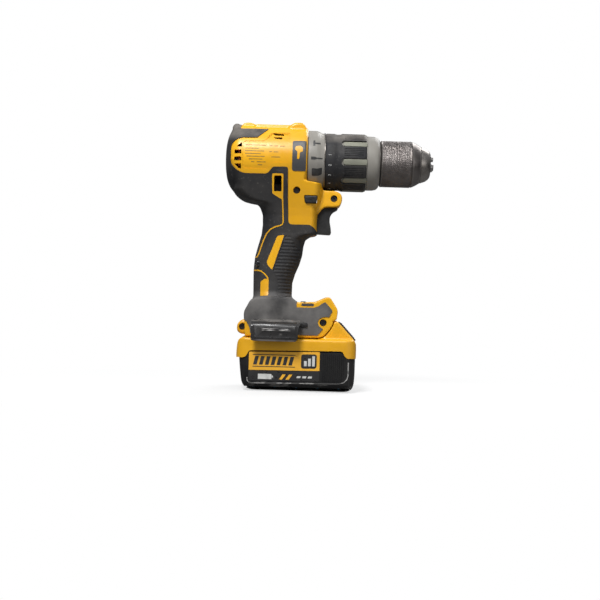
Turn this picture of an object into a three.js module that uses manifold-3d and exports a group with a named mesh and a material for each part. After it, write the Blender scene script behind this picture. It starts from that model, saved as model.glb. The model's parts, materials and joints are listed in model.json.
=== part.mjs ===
// Cordless hammer drill driver, standing on its slide-on battery.
// Millimetres. +X is forward, towards the chuck, +Y is the drill's left side and +Z is up.
// The origin is the middle of the battery's flat underside.
import * as THREE from "three";
import { mergeVertices } from "three/addons/utils/BufferGeometryUtils.js";
import Module from "manifold-3d";

const wasm = await Module();
wasm.setup();

// ---------------------------------------------------------------- driving dimensions

const AXIS_Z = 208.3; // height of the spindle's axis
const GAP = 0.3; // gap between pieces that touch
const SPLIT = 0.15; // half the gap between the right and left mouldings

const BARREL_R = 31; // motor barrel, outside
const BARREL_REAR = -60; // where the barrel's rear dome begins
const DOME = 9.4; // how far the dome stands behind that
const BARREL_FRONT = 4.2;
const CAVITY_R = 27.3; // motor barrel, inside

const RUBBER = 1.3; // thickness of the overmould
const BADGE = 1.0; // thickness of the hammer badges

const FOOT_HALF_WIDTH = 31;
const BATTERY_HALF_WIDTH = 37.5;
const BATTERY_TOP = 47;
const CASE_WALL = 2.5;

const MODULE = 0.9; // gear module
const SUN_TEETH = 9;
const PLANET_TEETH = 12;
const RING_TEETH = SUN_TEETH + 2 * PLANET_TEETH;
const PLANETS = 3;
const PLANET_ORBIT = (MODULE * (SUN_TEETH + PLANET_TEETH)) / 2;
const RING_GEAR_R = 18;
const GEARCASE_R = 21;

const JAW_TILT = THREE.MathUtils.degToRad(15);
const JAW_R = 3.2;
const JAW_OPENING = 3.2; // radius of the bit that the jaws would hold at rest
const JAW_TIP = 119.2;
const NOSE_FRONT = 113.8;

// ---------------------------------------------------------------- materials

function plastic(color, roughness) {
  return new THREE.MeshStandardMaterial({ color, roughness, metalness: 0 });
}

function metal(color, roughness) {
  return new THREE.MeshStandardMaterial({ color, roughness, metalness: 1 });
}

const yellowPlastic = plastic(0xf0ae10, 0.45);
const blackRubber = plastic(0x242426, 0.8);
const blackPlastic = plastic(0x18181a, 0.5);
const greyPlastic = plastic(0x8f8b82, 0.5);
const clearPlastic = plastic(0xd8e0e4, 0.15);
const boardGreen = plastic(0x1f5a34, 0.5);
const cellWrap = plastic(0x2c6f9e, 0.45);
const magnetBlack = metal(0x3a3a3e, 0.4);
const toolSteel = metal(0x8a8784, 0.35);
const chuckSteel = metal(0x6f6a66, 0.4);
const darkSteel = metal(0x2c2c2e, 0.45);
const castAlloy = metal(0xa5a8ab, 0.5);
const copper = metal(0xb8673a, 0.35);

// ---------------------------------------------------------------- solids

// A closed geometry as a solid that can be joined and cut.
function solid(geometry) {
  const bare = geometry.index ? geometry.toNonIndexed() : geometry.clone();
  bare.deleteAttribute("normal");
  bare.deleteAttribute("uv");
  const merged = mergeVertices(bare, 1e-4);
  const index = merged.index.array;
  const triangles = [];
  for (let i = 0; i < index.length; i += 3) {
    const [a, b, c] = index.slice(i, i + 3);
    if (a !== b && b !== c && c !== a) {
      triangles.push(a, b, c);
    }
  }
  const vertProperties = merged.attributes.position.array;
  const triVerts = new Uint32Array(triangles);
  return new wasm.Manifold(new wasm.Mesh({ numProp: 3, vertProperties, triVerts }));
}

function join(...solids) {
  return solids.reduce((whole, next) => whole.add(next));
}

function cut(whole, ...tools) {
  return tools.reduce((rest, tool) => rest.subtract(tool), whole);
}

function common(...solids) {
  return solids.reduce((whole, next) => whole.intersect(next));
}

// The largest body of a shape, without the crumbs that crossing surfaces leave.
function largest(shape) {
  return shape.decompose().reduce((best, next) => (next.volume() > best.volume() ? next : best));
}

function box(x0, x1, y0, y1, z0, z1) {
  const geometry = new THREE.BoxGeometry(x1 - x0, y1 - y0, z1 - z0);
  geometry.translate((x0 + x1) / 2, (y0 + y1) / 2, (z0 + z1) / 2);
  return solid(geometry);
}

// The same box on both sides of the middle plane.
function boxBothSides(x0, x1, y0, y1, z0, z1) {
  return join(box(x0, x1, y0, y1, z0, z1), box(x0, x1, -y1, -y0, z0, z1));
}

// A solid of revolution about the X axis: each profile point is [x, radius].
function turned(profile, sides = 32) {
  const points = profile.map(([x, r]) => new THREE.Vector2(r, x));
  if (THREE.ShapeUtils.area([...points]) < 0) {
    points.reverse();
  }
  points.push(points[0]);
  const geometry = new THREE.LatheGeometry(points, sides);
  geometry.rotateZ(-Math.PI / 2);
  return solid(geometry);
}

function ring(x0, x1, inner, outer, sides = 32) {
  return turned([[x0, inner], [x1, inner], [x1, outer], [x0, outer]], sides);
}

function rod(x0, x1, radius, sides = 16) {
  return turned([[x0, 0], [x1, 0], [x1, radius], [x0, radius]], sides);
}

// A round bar across the drill, centred on (x, z).
function crossBar(x, z, radius, y0, y1, sides = 12) {
  const geometry = new THREE.CylinderGeometry(radius, radius, y1 - y0, sides);
  geometry.translate(x, (y0 + y1) / 2, z);
  return solid(geometry);
}

// An outline through points [a, b, corner radius]; a corner without a radius stays sharp.
function outline(points) {
  const shape = new THREE.Shape();
  const at = (i) => new THREE.Vector2(...points[(i + points.length) % points.length]);
  points.forEach(([, , radius = 0], i) => {
    const corner = at(i);
    const reach = (other) => {
      const step = other.clone().sub(corner);
      return corner.clone().addScaledVector(step, Math.min(0.49, radius / step.length()));
    };
    const before = reach(at(i - 1));
    const after = reach(at(i + 1));
    if (i === 0) {
      shape.moveTo(before.x, before.y);
    } else {
      shape.lineTo(before.x, before.y);
    }
    if (radius > 0) {
      shape.quadraticCurveTo(corner.x, corner.y, after.x, after.y);
    }
  });
  shape.closePath();
  return shape;
}

// A side-view outline, in X and Z, as a straight prism from y0 to y1.
function prism(points, y0, y1, curveSegments = 2) {
  const settings = { depth: y1 - y0, bevelEnabled: false, curveSegments };
  const geometry = new THREE.ExtrudeGeometry(outline(points), settings);
  geometry.rotateX(Math.PI / 2);
  geometry.translate(0, y1, 0);
  return solid(geometry);
}

// A side-view outline given a width, with its long edges rounded: round is [across, in the outline].
// The inset shrinks it all round.
function pillow(points, halfWidth, round, inset = 0, curveSegments = 2) {
  const [across, inPlane] = round;
  const settings = {
    depth: 2 * (halfWidth - inset - across),
    bevelThickness: across,
    bevelSize: inPlane,
    bevelOffset: -inPlane - inset,
    bevelSegments: 1,
    curveSegments,
  };
  const geometry = new THREE.ExtrudeGeometry(outline(points), settings);
  geometry.rotateX(Math.PI / 2);
  geometry.translate(0, halfWidth - inset - across, 0);
  return solid(geometry);
}

// A front-view outline, in Y and Z, as a prism from x0 to x1.
function prismAlongX(shape, x0, x1, curveSegments = 3) {
  const settings = { depth: x1 - x0, bevelEnabled: false, curveSegments };
  const geometry = new THREE.ExtrudeGeometry(shape, settings);
  const [x, y, z] = [0, 1, 2].map((i) => new THREE.Vector3().setComponent(i, 1));
  geometry.applyMatrix4(new THREE.Matrix4().makeBasis(y, z, x));
  geometry.translate(x0, 0, 0);
  return solid(geometry);
}

// Stacked level rings of equal point count, closed at both ends.
function loft(rings) {
  const count = rings[0].length;
  const index = [];
  for (let level = 0; level < rings.length - 1; level += 1) {
    for (let i = 0; i < count; i += 1) {
      const j = (i + 1) % count;
      const [a, b] = [level * count + i, level * count + j];
      index.push(a, b, b + count, a, b + count, a + count);
    }
  }
  const top = (rings.length - 1) * count;
  for (let i = 1; i < count - 1; i += 1) {
    index.push(0, i + 1, i, top, top + i, top + i + 1);
  }
  const geometry = new THREE.BufferGeometry().setFromPoints(rings.flat());
  geometry.setIndex(index);
  return solid(geometry);
}

function addPart(group, name, shape, material, place = [0, 0, 0]) {
  const { numProp, vertProperties, triVerts } = shape.getMesh();
  const geometry = new THREE.BufferGeometry();
  geometry.setAttribute("position", new THREE.BufferAttribute(vertProperties, numProp));
  geometry.setIndex(new THREE.BufferAttribute(triVerts, 1));
  const faceted = geometry.toNonIndexed();
  faceted.computeVertexNormals();
  const mesh = new THREE.Mesh(faceted, material);
  mesh.name = name;
  mesh.position.set(...place);
  group.add(mesh);
  return mesh;
}

// ---------------------------------------------------------------- housing envelope

// Level sections of the neck and handle, from the barrel down into the foot:
// height, rear, front, half width, rear rounding and front rounding.
const HANDLE_SECTIONS = [
  [204, -69, 4.2, 30.7, 9.2, 1],
  [188, -64.9, 4.2, 26.6, 10, 1],
  [187, -64.5, 20.5, 26.3, 10, 9],
  [180, -62.6, 20.5, 24.4, 11, 9],
  [176, -59.6, 20, 23.2, 12, 9],
  [171, -52.5, 19, 21.8, 13, 9],
  [168.8, -43, 18, 21.2, 13, 9],
  [164.5, -36.7, 16.2, 20, 13, 8],
  [157, -34.4, 15.5, 18.8, 15, 7],
  [142, -34.9, 16, 17.3, 16, 7],
  [139.5, -35.3, 8, 17.2, 16, 12],
  [135.5, -36.2, 3.4, 17, 16, 14],
  [121, -40.3, 1.5, 17, 17, 16],
  [104, -41.5, -4.6, 17, 17, 16],
  [84, -41, -6.8, 19.5, 16, 13],
  [79, -42.8, -2, 24.5, 14, 8],
  [73, -46, 6, 28, 14, 8],
];

const FOOT_OUTLINE = [
  [-42, 80, 3], [-49.6, 68, 3], [-47.2, 61, 2], [-47.2, 48], [17, 48, 4],
  [25.5, 50.5, 4], [31.2, 60], [31.2, 63.8], [34.4, 64.2], [35.8, 73.6, 3], [27, 85.6, 4],
  [15.4, 80, 3], [-2, 79],
];

const CHIN_OUTLINE = [
  [10, 181.2], [37.2, 181.2, 6], [37.2, 166.3, 6], [19, 166.3, 4], [15.5, 160], [6, 160],
];

const REAR_TAB_OUTLINE = [
  [-44, 60.8], [-55.3, 60.8, 4.5], [-55.3, 49, 4.5], [-44, 49],
];

// One level ring: an oval whose two ends have their own rounding depths, in steps facets each.
function ovalRing([z, rear, front, halfWidth, rearRound, frontRound], steps) {
  const points = [];
  for (let i = 0; i <= steps; i += 1) {
    const turn = Math.PI * (i / steps - 0.5);
    const x = front - frontRound * (1 - Math.cos(turn));
    points.push(new THREE.Vector3(x, halfWidth * Math.sin(turn), z));
  }
  for (let i = 0; i <= steps; i += 1) {
    const turn = Math.PI * (i / steps + 0.5);
    const x = rear + rearRound * (1 + Math.cos(turn));
    points.push(new THREE.Vector3(x, halfWidth * Math.sin(turn), z));
  }
  return points;
}

// The handle's sections moved inwards by the same amount all round.
function insetSections(inset) {
  const last = HANDLE_SECTIONS.length - 1;
  return HANDLE_SECTIONS.map((section, i) => {
    const above = HANDLE_SECTIONS[Math.max(0, i - 1)];
    const below = HANDLE_SECTIONS[Math.min(last, i + 1)];
    const lean = (edge) => {
      const across = above[edge] - below[edge];
      const down = above[0] - below[0];
      return [down / Math.hypot(across, down), across / Math.hypot(across, down)];
    };
    const [rearIn, rearLift] = lean(1);
    const [frontIn, frontLift] = lean(2);
    const [z, rear, front, halfWidth, rearRound, frontRound] = section;
    return [
      z + inset * (frontLift - rearLift),
      rear + inset * rearIn,
      front - inset * frontIn,
      halfWidth - inset,
      Math.max(1, rearRound - inset),
      Math.max(0.5, frontRound - inset),
    ];
  });
}

// Inner faces are never seen, so they have fewer facets.
function facets(inset, outside, inside) {
  return inset === 0 ? outside : inside;
}

function handleSolid(inset) {
  const steps = facets(inset, 6, 4);
  const sections = insetSections(inset).reverse();
  return loft(sections.map((section) => ovalRing(section, steps)));
}

function barrelSolid(inset) {
  const radius = BARREL_R - inset;
  const depth = DOME - inset;
  const profile = [[BARREL_FRONT, 0], [BARREL_FRONT, radius]];
  const steps = facets(inset, 4, 2);
  for (let step = 0; step < steps; step += 1) {
    const turn = (step / steps) * (Math.PI / 2);
    profile.push([BARREL_REAR - depth * Math.sin(turn), radius * Math.cos(turn)]);
  }
  profile.push([BARREL_REAR - depth, 0]);
  const whole = turned(profile, facets(inset, 26, 18)).translate(0, 0, AXIS_Z);
  return common(whole, box(-80, 10, -40, 40, 196.5, 250));
}

// Two raised pads along the top of the barrel.
function topPads(inset) {
  const rear = box(-56 + inset, -44 - inset, -9 + inset, 9 - inset, 230, 241.6 - inset);
  const front = box(-9 + inset, BARREL_FRONT, -13 + inset, 13 - inset, 230, 242 - inset);
  return join(rear, front);
}

// The whole outside of the drill, moved inwards by inset.
function envelope(inset) {
  const tab = pillow(REAR_TAB_OUTLINE, 12, [1.5, 1.5], inset);
  const foot = pillow(FOOT_OUTLINE, FOOT_HALF_WIDTH, [5, 2], inset);
  const chin = pillow(CHIN_OUTLINE, 13, [3, 2], inset);
  return join(barrelSolid(inset), topPads(inset), handleSolid(inset), foot, tab, chin);
}

// ---------------------------------------------------------------- housing and its overmould

// The area that the overmould covers, as a side view. It runs past the outside at the rear and front.
const RUBBER_OUTLINE = [
  [-80, 250], [-56.4, 250], [-56.4, 233.8], [-31.3, 233.8], [-41, 225.3],
  [-57, 225], [-64, 218], [-64, 201], [-53, 193.3], [-31, 193.3],
  [-26, 199.6], [-12.2, 199.6], [-11.7, 149.4], [11, 149.4], [17, 139],
  [30, 120], [6, 79.3], [-1.5, 79.3], [-1.5, 76.6], [17, 76.6],
  [25.6, 80], [32, 71], [28.6, 68], [19.6, 60.4], [23, 54],
  [17.6, 49.3], [-44, 49.3], [-44, 62], [-80, 62],
];

const BADGE_AREA = [-9.4, 2.6, 196.3, 223.2];

function side(sign) {
  const inner = SPLIT;
  const outer = 60;
  return sign < 0 ? box(-90, 60, -outer, -inner, 40, 260) : box(-90, 60, inner, outer, 40, 260);
}

// The overmould's area, shrunk all round by spare.
function rubberArea(spare) {
  return pillow(RUBBER_OUTLINE, 60 + spare, [1, 0.1], spare);
}

function badgeArea(spare) {
  const [x0, x1, z0, z1] = BADGE_AREA;
  return boxBothSides(x0 - spare, x1 + spare, 15, 40, z0 - spare, z1 + spare);
}

// Air slots: four at the rear, two near the top and a tall window lower down, on each side.
function vents() {
  const rear = [218.2, 212, 206, 200].map((z) => boxBothSides(-60.6, -55.2, 8, 40, z - 1.7, z + 1.7));
  const upper = [230.4, 226.6].map((z) => boxBothSides(-26, -18, 8, 40, z - 0.9, z + 0.9));
  const window = boxBothSides(-26.2, -19.4, 8, 40, 178, 193);
  return join(...rear, ...upper, window);
}

const CHANNEL_SPARE = 0.6; // how much wider the foot's channel is than the battery's rail
const RAIL_NECK = 19; // half width of the battery's rail where it leaves the pack
const RAIL_HEAD = 23;
const RAIL_STEP = 50.5;
const RAIL_TOP = 54.5;

function batteryChannel() {
  const neck = RAIL_NECK + CHANNEL_SPARE;
  const head = RAIL_HEAD + CHANNEL_SPARE;
  const entry = box(-45, 45, -neck, neck, 40, RAIL_STEP);
  return join(entry, box(-45, 45, -head, head, RAIL_STEP - GAP, 57));
}

const NECK_BAY = [[-52, 196], [-52, 182], [-30, 164], [12, 164], [12, 196]];
const HANDLE_BAY = [
  [-29, 170], [-36, 106], [-36, 70], [-12, 70], [-9, 106], [-1, 136], [12, 142], [12, 170],
];

// The hollow inside the drill: motor bay, neck, handle and foot.
function cavity() {
  const bayProfile = [[-64, 0], [-64, 15], [-58, CAVITY_R], [10, CAVITY_R], [10, 0]];
  const motorBay = turned(bayProfile, 20).translate(0, 0, AXIS_Z);
  const neckBay = prism(NECK_BAY, -17, 17);
  const handleBay = prism(HANDLE_BAY, -13.5, 13.5);
  const footBay = box(-40, 22, -26, 26, 60, 74);
  return join(motorBay, neckBay, handleBay, footBay);
}

const SCREWS = {
  chin: { x: 29.3, z: 174.1, head: 11.5 },
  side: { x: -4.6, z: 179.4, head: 21.6 },
  foot: { x: 23.5, z: 61.7, head: 28 },
  tab: { x: -50.6, z: 55.4, head: 10.4 },
};
const SCREW_R = 1.6;
const SCREW_HEAD_R = 3;
const SCREW_HEAD_DEPTH = 2.4;

// A pocket for the head from outside and a hole for the thread.
function screwHole({ x, z, head }) {
  const pocket = crossBar(x, z, SCREW_HEAD_R + GAP, -40, -head + SCREW_HEAD_DEPTH + GAP);
  return join(pocket, crossBar(x, z, SCREW_R + GAP, -head, head));
}

// The post that takes a screw inside the housing.
function screwPost({ x, z, head }) {
  return crossBar(x, z, 5, -head, head, 12);
}

function housingSolid() {
  const full = envelope(0);
  const rubberSeat = common(rubberArea(0), cut(full, envelope(RUBBER + GAP)));
  const badgeSeat = common(badgeArea(GAP), cut(full, envelope(BADGE + GAP)));
  const post = screwPost(SCREWS.side);
  const hollow = cut(full, cavity(), rubberSeat, badgeSeat);
  const gearcaseRoom = rod(-20, BARREL_FRONT, GEARCASE_R + 2 * GAP, 24).translate(0, 0, AXIS_Z);
  const posted = join(hollow, cut(common(post, full), gearcaseRoom));
  const collarRoom = turned(
    [[3.9, 0], [80, 0], [80, 26.9], [20.4, 26.9], [20.4, 28.9], [3.9, 28.9]],
    28,
  ).translate(0, 0, AXIS_Z);
  const triggerOpening = box(8, 25, -8.9, 8.9, 142.2, 166);
  const directionOpening = box(1.9, 14.7, -40, 40, 168.2, 175.9);
  const selectorPocket = box(-30.6, -9.2, -8.4, 8.4, 237.2, 250);
  const selectorSlot = box(-26.6, -13.4, -3.4, 3.4, 225, 245);
  const lensPocket = box(3.1, 14.9, -6.3, 6.3, 76.6, 90);
  const screws = Object.values(SCREWS).map(screwHole);
  return cut(
    posted, collarRoom, batteryChannel(), vents(), triggerOpening, directionOpening,
    selectorPocket, selectorSlot, lensPocket, hookScrewHole(), ...screws,
  );
}

function overmouldSolid() {
  const skin = common(rubberArea(GAP), cut(envelope(0), envelope(RUBBER)));
  const seam = cut(skin, box(-90, 60, -SPLIT, SPLIT, 40, 260));
  const roomByTrigger = box(-3, 30, -40, 40, 139.5, 190);
  return cut(seam, vents(), hookScrewHole(), batteryChannel(), roomByTrigger);
}

function badgeSolid() {
  return common(badgeArea(-GAP), cut(envelope(0), envelope(BADGE)));
}

function addHousing(group) {
  const housing = housingSolid();
  const overmould = overmouldSolid();
  const badge = badgeSolid();
  for (const [sign, word] of [[-1, "right"], [1, "left"]]) {
    addPart(group, `housing_${word}`, largest(common(housing, side(sign))), yellowPlastic);
    addPart(group, `overmould_${word}`, largest(common(overmould, side(sign))), blackRubber);
    addPart(group, `badge_${word}`, largest(common(badge, side(sign))), blackPlastic);
  }
  for (const [place, { x, z, head }] of Object.entries(SCREWS)) {
    const top = crossBar(0, 0, SCREW_HEAD_R, -head, -head + SCREW_HEAD_DEPTH, 10);
    const socket = crossBar(0, 0, 1.4, -head - 1, -head + 1.6, 6);
    const thread = crossBar(0, 0, SCREW_R, -head, head - 3, 8);
    addPart(group, `housing_screw_${place}`, cut(join(top, thread), socket), darkSteel, [x, 0, z]);
  }
}

// ---------------------------------------------------------------- motor

const STATOR_R = 24.5;
const STATOR_BORE = 12.5;
const STATOR_POLES = 6;
const STATOR_REAR = -55;
const STATOR_FRONT = -31;

// A copy of the shape for each of count equal turns about the X axis.
function around(shape, count) {
  const copies = [];
  for (let i = 0; i < count; i += 1) {
    copies.push(shape.rotate([(360 / count) * i, 0, 0]));
  }
  return copies;
}

function statorCore() {
  const yoke = ring(STATOR_REAR, STATOR_FRONT, 20.5, STATOR_R, 24);
  const pole = box(STATOR_REAR, STATOR_FRONT, -2.6, 2.6, 11, 21);
  const shoe = box(STATOR_REAR, STATOR_FRONT, -4.6, 4.6, 11, 14.2);
  const bore = rod(STATOR_REAR - 1, STATOR_FRONT + 1, STATOR_BORE, 24);
  return cut(join(yoke, ...around(join(pole, shoe), STATOR_POLES)), bore);
}

// One coil round each pole, joined by the ring that carries their connections.
function statorWindings() {
  const coil = box(STATOR_REAR - 3, STATOR_FRONT + 3, -4.9, 4.9, 14.6, 19.1);
  const pole = box(STATOR_REAR - GAP, STATOR_FRONT + GAP, -2.9, 2.9, 10, 22);
  const carrier = ring(STATOR_REAR - 3, STATOR_REAR - 1.5, 15, 22, 18);
  return cut(join(carrier, ...around(coil, STATOR_POLES)), ...around(pole, STATOR_POLES));
}

function coolingFan() {
  const blades = 9;
  const hub = ring(-26.4, -17.4, 3.3, 7.5, 12);
  const disc = ring(-26.4, -25, 7, 24.8, 27);
  const blade = box(-25.6, -18.4, -0.6, 0.6, 11, 24.3);
  return join(hub, disc, ...around(blade, blades));
}

function addMotor(group) {
  addPart(group, "stator_core", statorCore(), toolSteel);
  addPart(group, "stator_windings", statorWindings(), copper);
  addPart(group, "rotor_core", ring(-54, -32, 3.3, STATOR_BORE - 0.7, 24), magnetBlack);
  const shaft = turned([[-64, 0], [-64, 2.5], [-57, 2.5], [-57, 3], [-9, 3], [-9, 0]], 12);
  addPart(group, "motor_shaft", join(shaft, gear(SUN_TEETH, -9.2, -0.6)), toolSteel);
  addPart(group, "cooling_fan", coolingFan(), blackPlastic);
  addPart(group, "motor_bearing_rear", ring(-63.6, -58.4, 2.8, 8, 20), toolSteel);
  addPart(group, "motor_bearing_front", ring(-15.6, -10.6, 3.3, 8, 20), toolSteel);
}

// ---------------------------------------------------------------- planetary gearbox

// Corner angles and radii of one tooth, from its root round to the next.
function toothOutline(teeth, rootR, tipR) {
  const pitch = (2 * Math.PI) / teeth;
  const points = [];
  for (let i = 0; i < teeth; i += 1) {
    const middle = i * pitch;
    for (const [turn, radius] of [[-0.25, rootR], [-0.1, tipR], [0.1, tipR], [0.25, rootR]]) {
      const angle = middle + turn * pitch;
      points.push([radius * Math.cos(angle), radius * Math.sin(angle)]);
    }
  }
  return points;
}

function gear(teeth, x0, x1) {
  const pitchR = (MODULE * teeth) / 2;
  const points = toothOutline(teeth, pitchR - 1.05 * MODULE, pitchR + 0.8 * MODULE);
  return prismAlongX(outline(points), x0, x1);
}

function ringGear(x0, x1) {
  const pitchR = (MODULE * RING_TEETH) / 2;
  const points = toothOutline(RING_TEETH, pitchR + 1.05 * MODULE, pitchR - 0.8 * MODULE);
  const opening = prismAlongX(outline(points), x0 - 1, x1 + 1);
  return cut(rod(x0, x1, RING_GEAR_R, 24), opening);
}

const PIN_R = 1.6;

// A plate with one pin behind it for each planet.
function carrier(plate0, plate1, pinEnd) {
  const plate = rod(plate0, plate1, 12.6, 24);
  const pin = rod(pinEnd, plate0 + 0.5, PIN_R, 10).translate(0, PLANET_ORBIT, 0);
  return join(plate, ...around(pin, PLANETS));
}

function addPlanets(group, firstNumber, x0, x1) {
  const halfTooth = 180 / PLANET_TEETH;
  const bore = rod(x0 - 1, x1 + 1, PIN_R + GAP, 10);
  const planet = cut(gear(PLANET_TEETH, x0, x1).rotate([halfTooth, 0, 0]), bore);
  for (let i = 0; i < PLANETS; i += 1) {
    const turn = (2 * Math.PI * i) / PLANETS;
    const place = [0, PLANET_ORBIT * Math.cos(turn), PLANET_ORBIT * Math.sin(turn)];
    addPart(group, `planet_gear_${firstNumber + i}`, planet, toolSteel, place);
  }
}

// The case: a wide tube for the ring gears and a narrow nose for the spindle.
function gearcase() {
  const profile = [
    [-10, RING_GEAR_R + GAP], [21, RING_GEAR_R + GAP], [21, 12.6], [57, 12.6], [57, 16], [24, 16],
    [24, GEARCASE_R], [-10, GEARCASE_R],
  ];
  const yokeSlot = box(6.4, 16.4, -1.7, 1.7, 16, 24);
  return cut(turned(profile, 24), yokeSlot);
}

function addGearbox(group) {
  addPart(group, "gearcase_cover", ring(-15.8, -10.3, 8.4, GEARCASE_R, 30), castAlloy);
  addPart(group, "gearcase", gearcase(), castAlloy);
  addPart(group, "fixed_ring_gear", ringGear(-9.6, 0), toolSteel);
  addPlanets(group, 1, -8.6, -1);
  const secondSun = gear(SUN_TEETH, 3, 12.4);
  addPart(group, "first_carrier", join(carrier(0, 3.4, -8.6), secondSun), toolSteel);
  addPart(group, "shift_ring_gear", ringGear(3.8, 12.4), toolSteel);
  addPlanets(group, 4, 4.4, 12);
  const hexHole = rod(10, 22, 5.2, 6);
  const hub = rod(16, 20, 7.5, 20);
  addPart(group, "output_carrier", cut(join(carrier(12.8, 16.8, 4.4), hub), hexHole), toolSteel);
}

// ---------------------------------------------------------------- spindle, clutch and collars

function clutchSpring() {
  const [start, length, turns, radius] = [31, 18, 4, 18.2];
  class Coil extends THREE.Curve {
    getPoint(t, target = new THREE.Vector3()) {
      const turn = 2 * Math.PI * turns * t;
      return target.set(start + length * t, radius * Math.cos(turn), radius * Math.sin(turn));
    }
  }
  const wire = new THREE.Shape().absarc(0, 0, 1.1, 0, 2 * Math.PI);
  const settings = { steps: turns * 9, extrudePath: new Coil(), curveSegments: 3 };
  return solid(new THREE.ExtrudeGeometry(wire, settings));
}

// A ring with radial teeth on the face at toothX.
function ratchet(x0, x1, toothX, inner, outer) {
  const teeth = 8;
  const notch = box(toothX - 1, toothX + 1, -1.9, 1.9, inner - 2, outer + 2);
  return cut(ring(x0, x1, inner, outer, 24), ...around(notch, teeth));
}

function spindle() {
  const hexEnd = rod(13.2, 22, 4.7, 6);
  const profile = [
    [21, 0], [21, 6], [66, 6], [66, 5.7], [82, 5.7], [82, 3.1], [74, 3.1], [74, 0],
  ];
  return join(hexEnd, turned(profile, 20));
}

const GRIP_RIBS = 9;

function clutchCollar() {
  const profile = [
    [20.4, 21.2], [58, 21.2], [58, 13.5], [69.6, 13.5], [69.6, 21.6], [66, 24.3], [20.4, 24.6],
  ];
  const inlay = box(38, 57.8, -1.7, 1.7, 24, 25.7);
  return join(turned(profile, 27), ...around(inlay, GRIP_RIBS));
}

function clutchGrip() {
  const profile = [[20.4, 24.9], [57.4, 24.9], [57.4, 25.3], [55.8, 26.3], [20.4, 26.3]];
  const window = box(37.4, 58, -2.1, 2.1, 24, 27);
  return cut(turned(profile, 27), ...around(window, GRIP_RIBS));
}

function modeCollar() {
  const profile = [[4.6, 24], [19.9, 24], [19.9, 26], [17, 26.2], [13, 28.3], [4.6, 28.3]];
  return turned(profile, 30);
}

function addFront(group) {
  addPart(group, "spindle", spindle(), toolSteel);
  addPart(group, "spindle_bearing", ring(46, 55, 6.3, 12.3, 20), toolSteel);
  addPart(group, "hammer_ratchet_fixed", ratchet(24, 29, 29, 7, 12.3), toolSteel);
  addPart(group, "hammer_ratchet_moving", ratchet(30, 35, 30, 6.3, 11.6), toolSteel);
  addPart(group, "clutch_spring", clutchSpring(), toolSteel);
  addPart(group, "clutch_nut", ring(51, 54.6, 16.4, 20.8, 24), castAlloy);
  addPart(group, "mode_collar", modeCollar(), greyPlastic);
  addPart(group, "clutch_collar", clutchCollar(), greyPlastic);
  addPart(group, "clutch_grip", clutchGrip(), blackRubber);
}

// ---------------------------------------------------------------- chuck

// Radius of the jaw's centre line where it crosses x.
function jawCentre(x) {
  return JAW_OPENING + JAW_R * 0.88 + (NOSE_FRONT - x) * Math.tan(JAW_TILT);
}

// A round bar along the line that the upper jaw slides on.
function jawBar(x0, x1, radius, sides) {
  const bar = rod(x0 - NOSE_FRONT, x1 - NOSE_FRONT, radius, sides);
  const tilt = THREE.MathUtils.radToDeg(JAW_TILT);
  return bar.rotate([0, tilt, 0]).translate(NOSE_FRONT, 0, jawCentre(NOSE_FRONT));
}

// The jaw's two inner faces meet at 120 degrees, so that three jaws close on the axis.
function chuckJaw() {
  const flat = 0.35;
  const reach = 9;
  const rise = reach / Math.tan(Math.PI / 3);
  const wedge = [
    [-flat, JAW_OPENING], [flat, JAW_OPENING], [reach, JAW_OPENING + rise], [reach, 24],
    [-reach, 24], [-reach, JAW_OPENING + rise],
  ];
  const profile = [
    [80, 0], [JAW_TIP, 0], [JAW_TIP, 7.2], [NOSE_FRONT + 1, 9.8], [100, 40], [80, 40],
  ];
  const cone = turned(profile, 24);
  return common(jawBar(86, 125, JAW_R, 10), prismAlongX(outline(wedge), 80, 130), cone);
}

function chuckBody() {
  const profile = [
    [71.4, 0], [71.4, 16.4], [90, 16.4], [90, 14.2], [99, 14.2], [99, 16.4], [107, 16.4],
    [NOSE_FRONT - 1, 14.4], [NOSE_FRONT, 13.6], [NOSE_FRONT, 0],
  ];
  const bitHole = rod(88, 120, 6.8, 12);
  const spindleHole = rod(70, 83, 6.3, 12);
  const screwWay = rod(80, 90, 3.3, 12);
  const jawWay = jawBar(60, 130, JAW_R + 0.35, 10);
  return cut(turned(profile, 24), bitHole, spindleHole, screwWay, ...around(jawWay, 3));
}

function chuckSleeve() {
  const profile = [
    [70.8, 16.8], [73, 16.8], [73, 20], [99.4, 20], [99.4, 16.8], [106.8, 16.8], [103, 18.9],
    [98.6, 20.6], [96, 21.2], [70.8, 21.2],
  ];
  return turned(profile, 28);
}

function addChuck(group) {
  addPart(group, "chuck_body", chuckBody(), chuckSteel);
  addPart(group, "chuck_sleeve", chuckSleeve(), chuckSteel);
  addPart(group, "chuck_nut", ring(91.4, 98.4, 15.8, 19.6, 24), toolSteel);
  const screwProfile = [[76, 0], [76, 2.7], [90.4, 2.7], [90.4, 4.6], [93, 4.6], [93, 0]];
  addPart(group, "chuck_screw", cut(turned(screwProfile, 12), rod(91.4, 95, 1.6, 6)), darkSteel);
  for (let i = 0; i < 3; i += 1) {
    const jaw = addPart(group, `chuck_jaw_${i + 1}`, chuckJaw(), toolSteel);
    jaw.rotation.x = (2 * Math.PI * i) / 3;
  }
}

// ---------------------------------------------------------------- controls

const TRIGGER_OUTLINE = [
  [13.6, 142.5], [27.8, 142.5], [27.2, 147.5, 2.4], [26.2, 153, 2.4], [27, 158.5, 2.4],
  [29, 162, 1.8], [33.6, 165.7], [13.6, 165.7],
];

function trigger() {
  const pad = pillow(TRIGGER_OUTLINE, 8.6, [2, 0.6]);
  return join(pad, box(6, 15, -4, 4, 150, 158));
}

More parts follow.
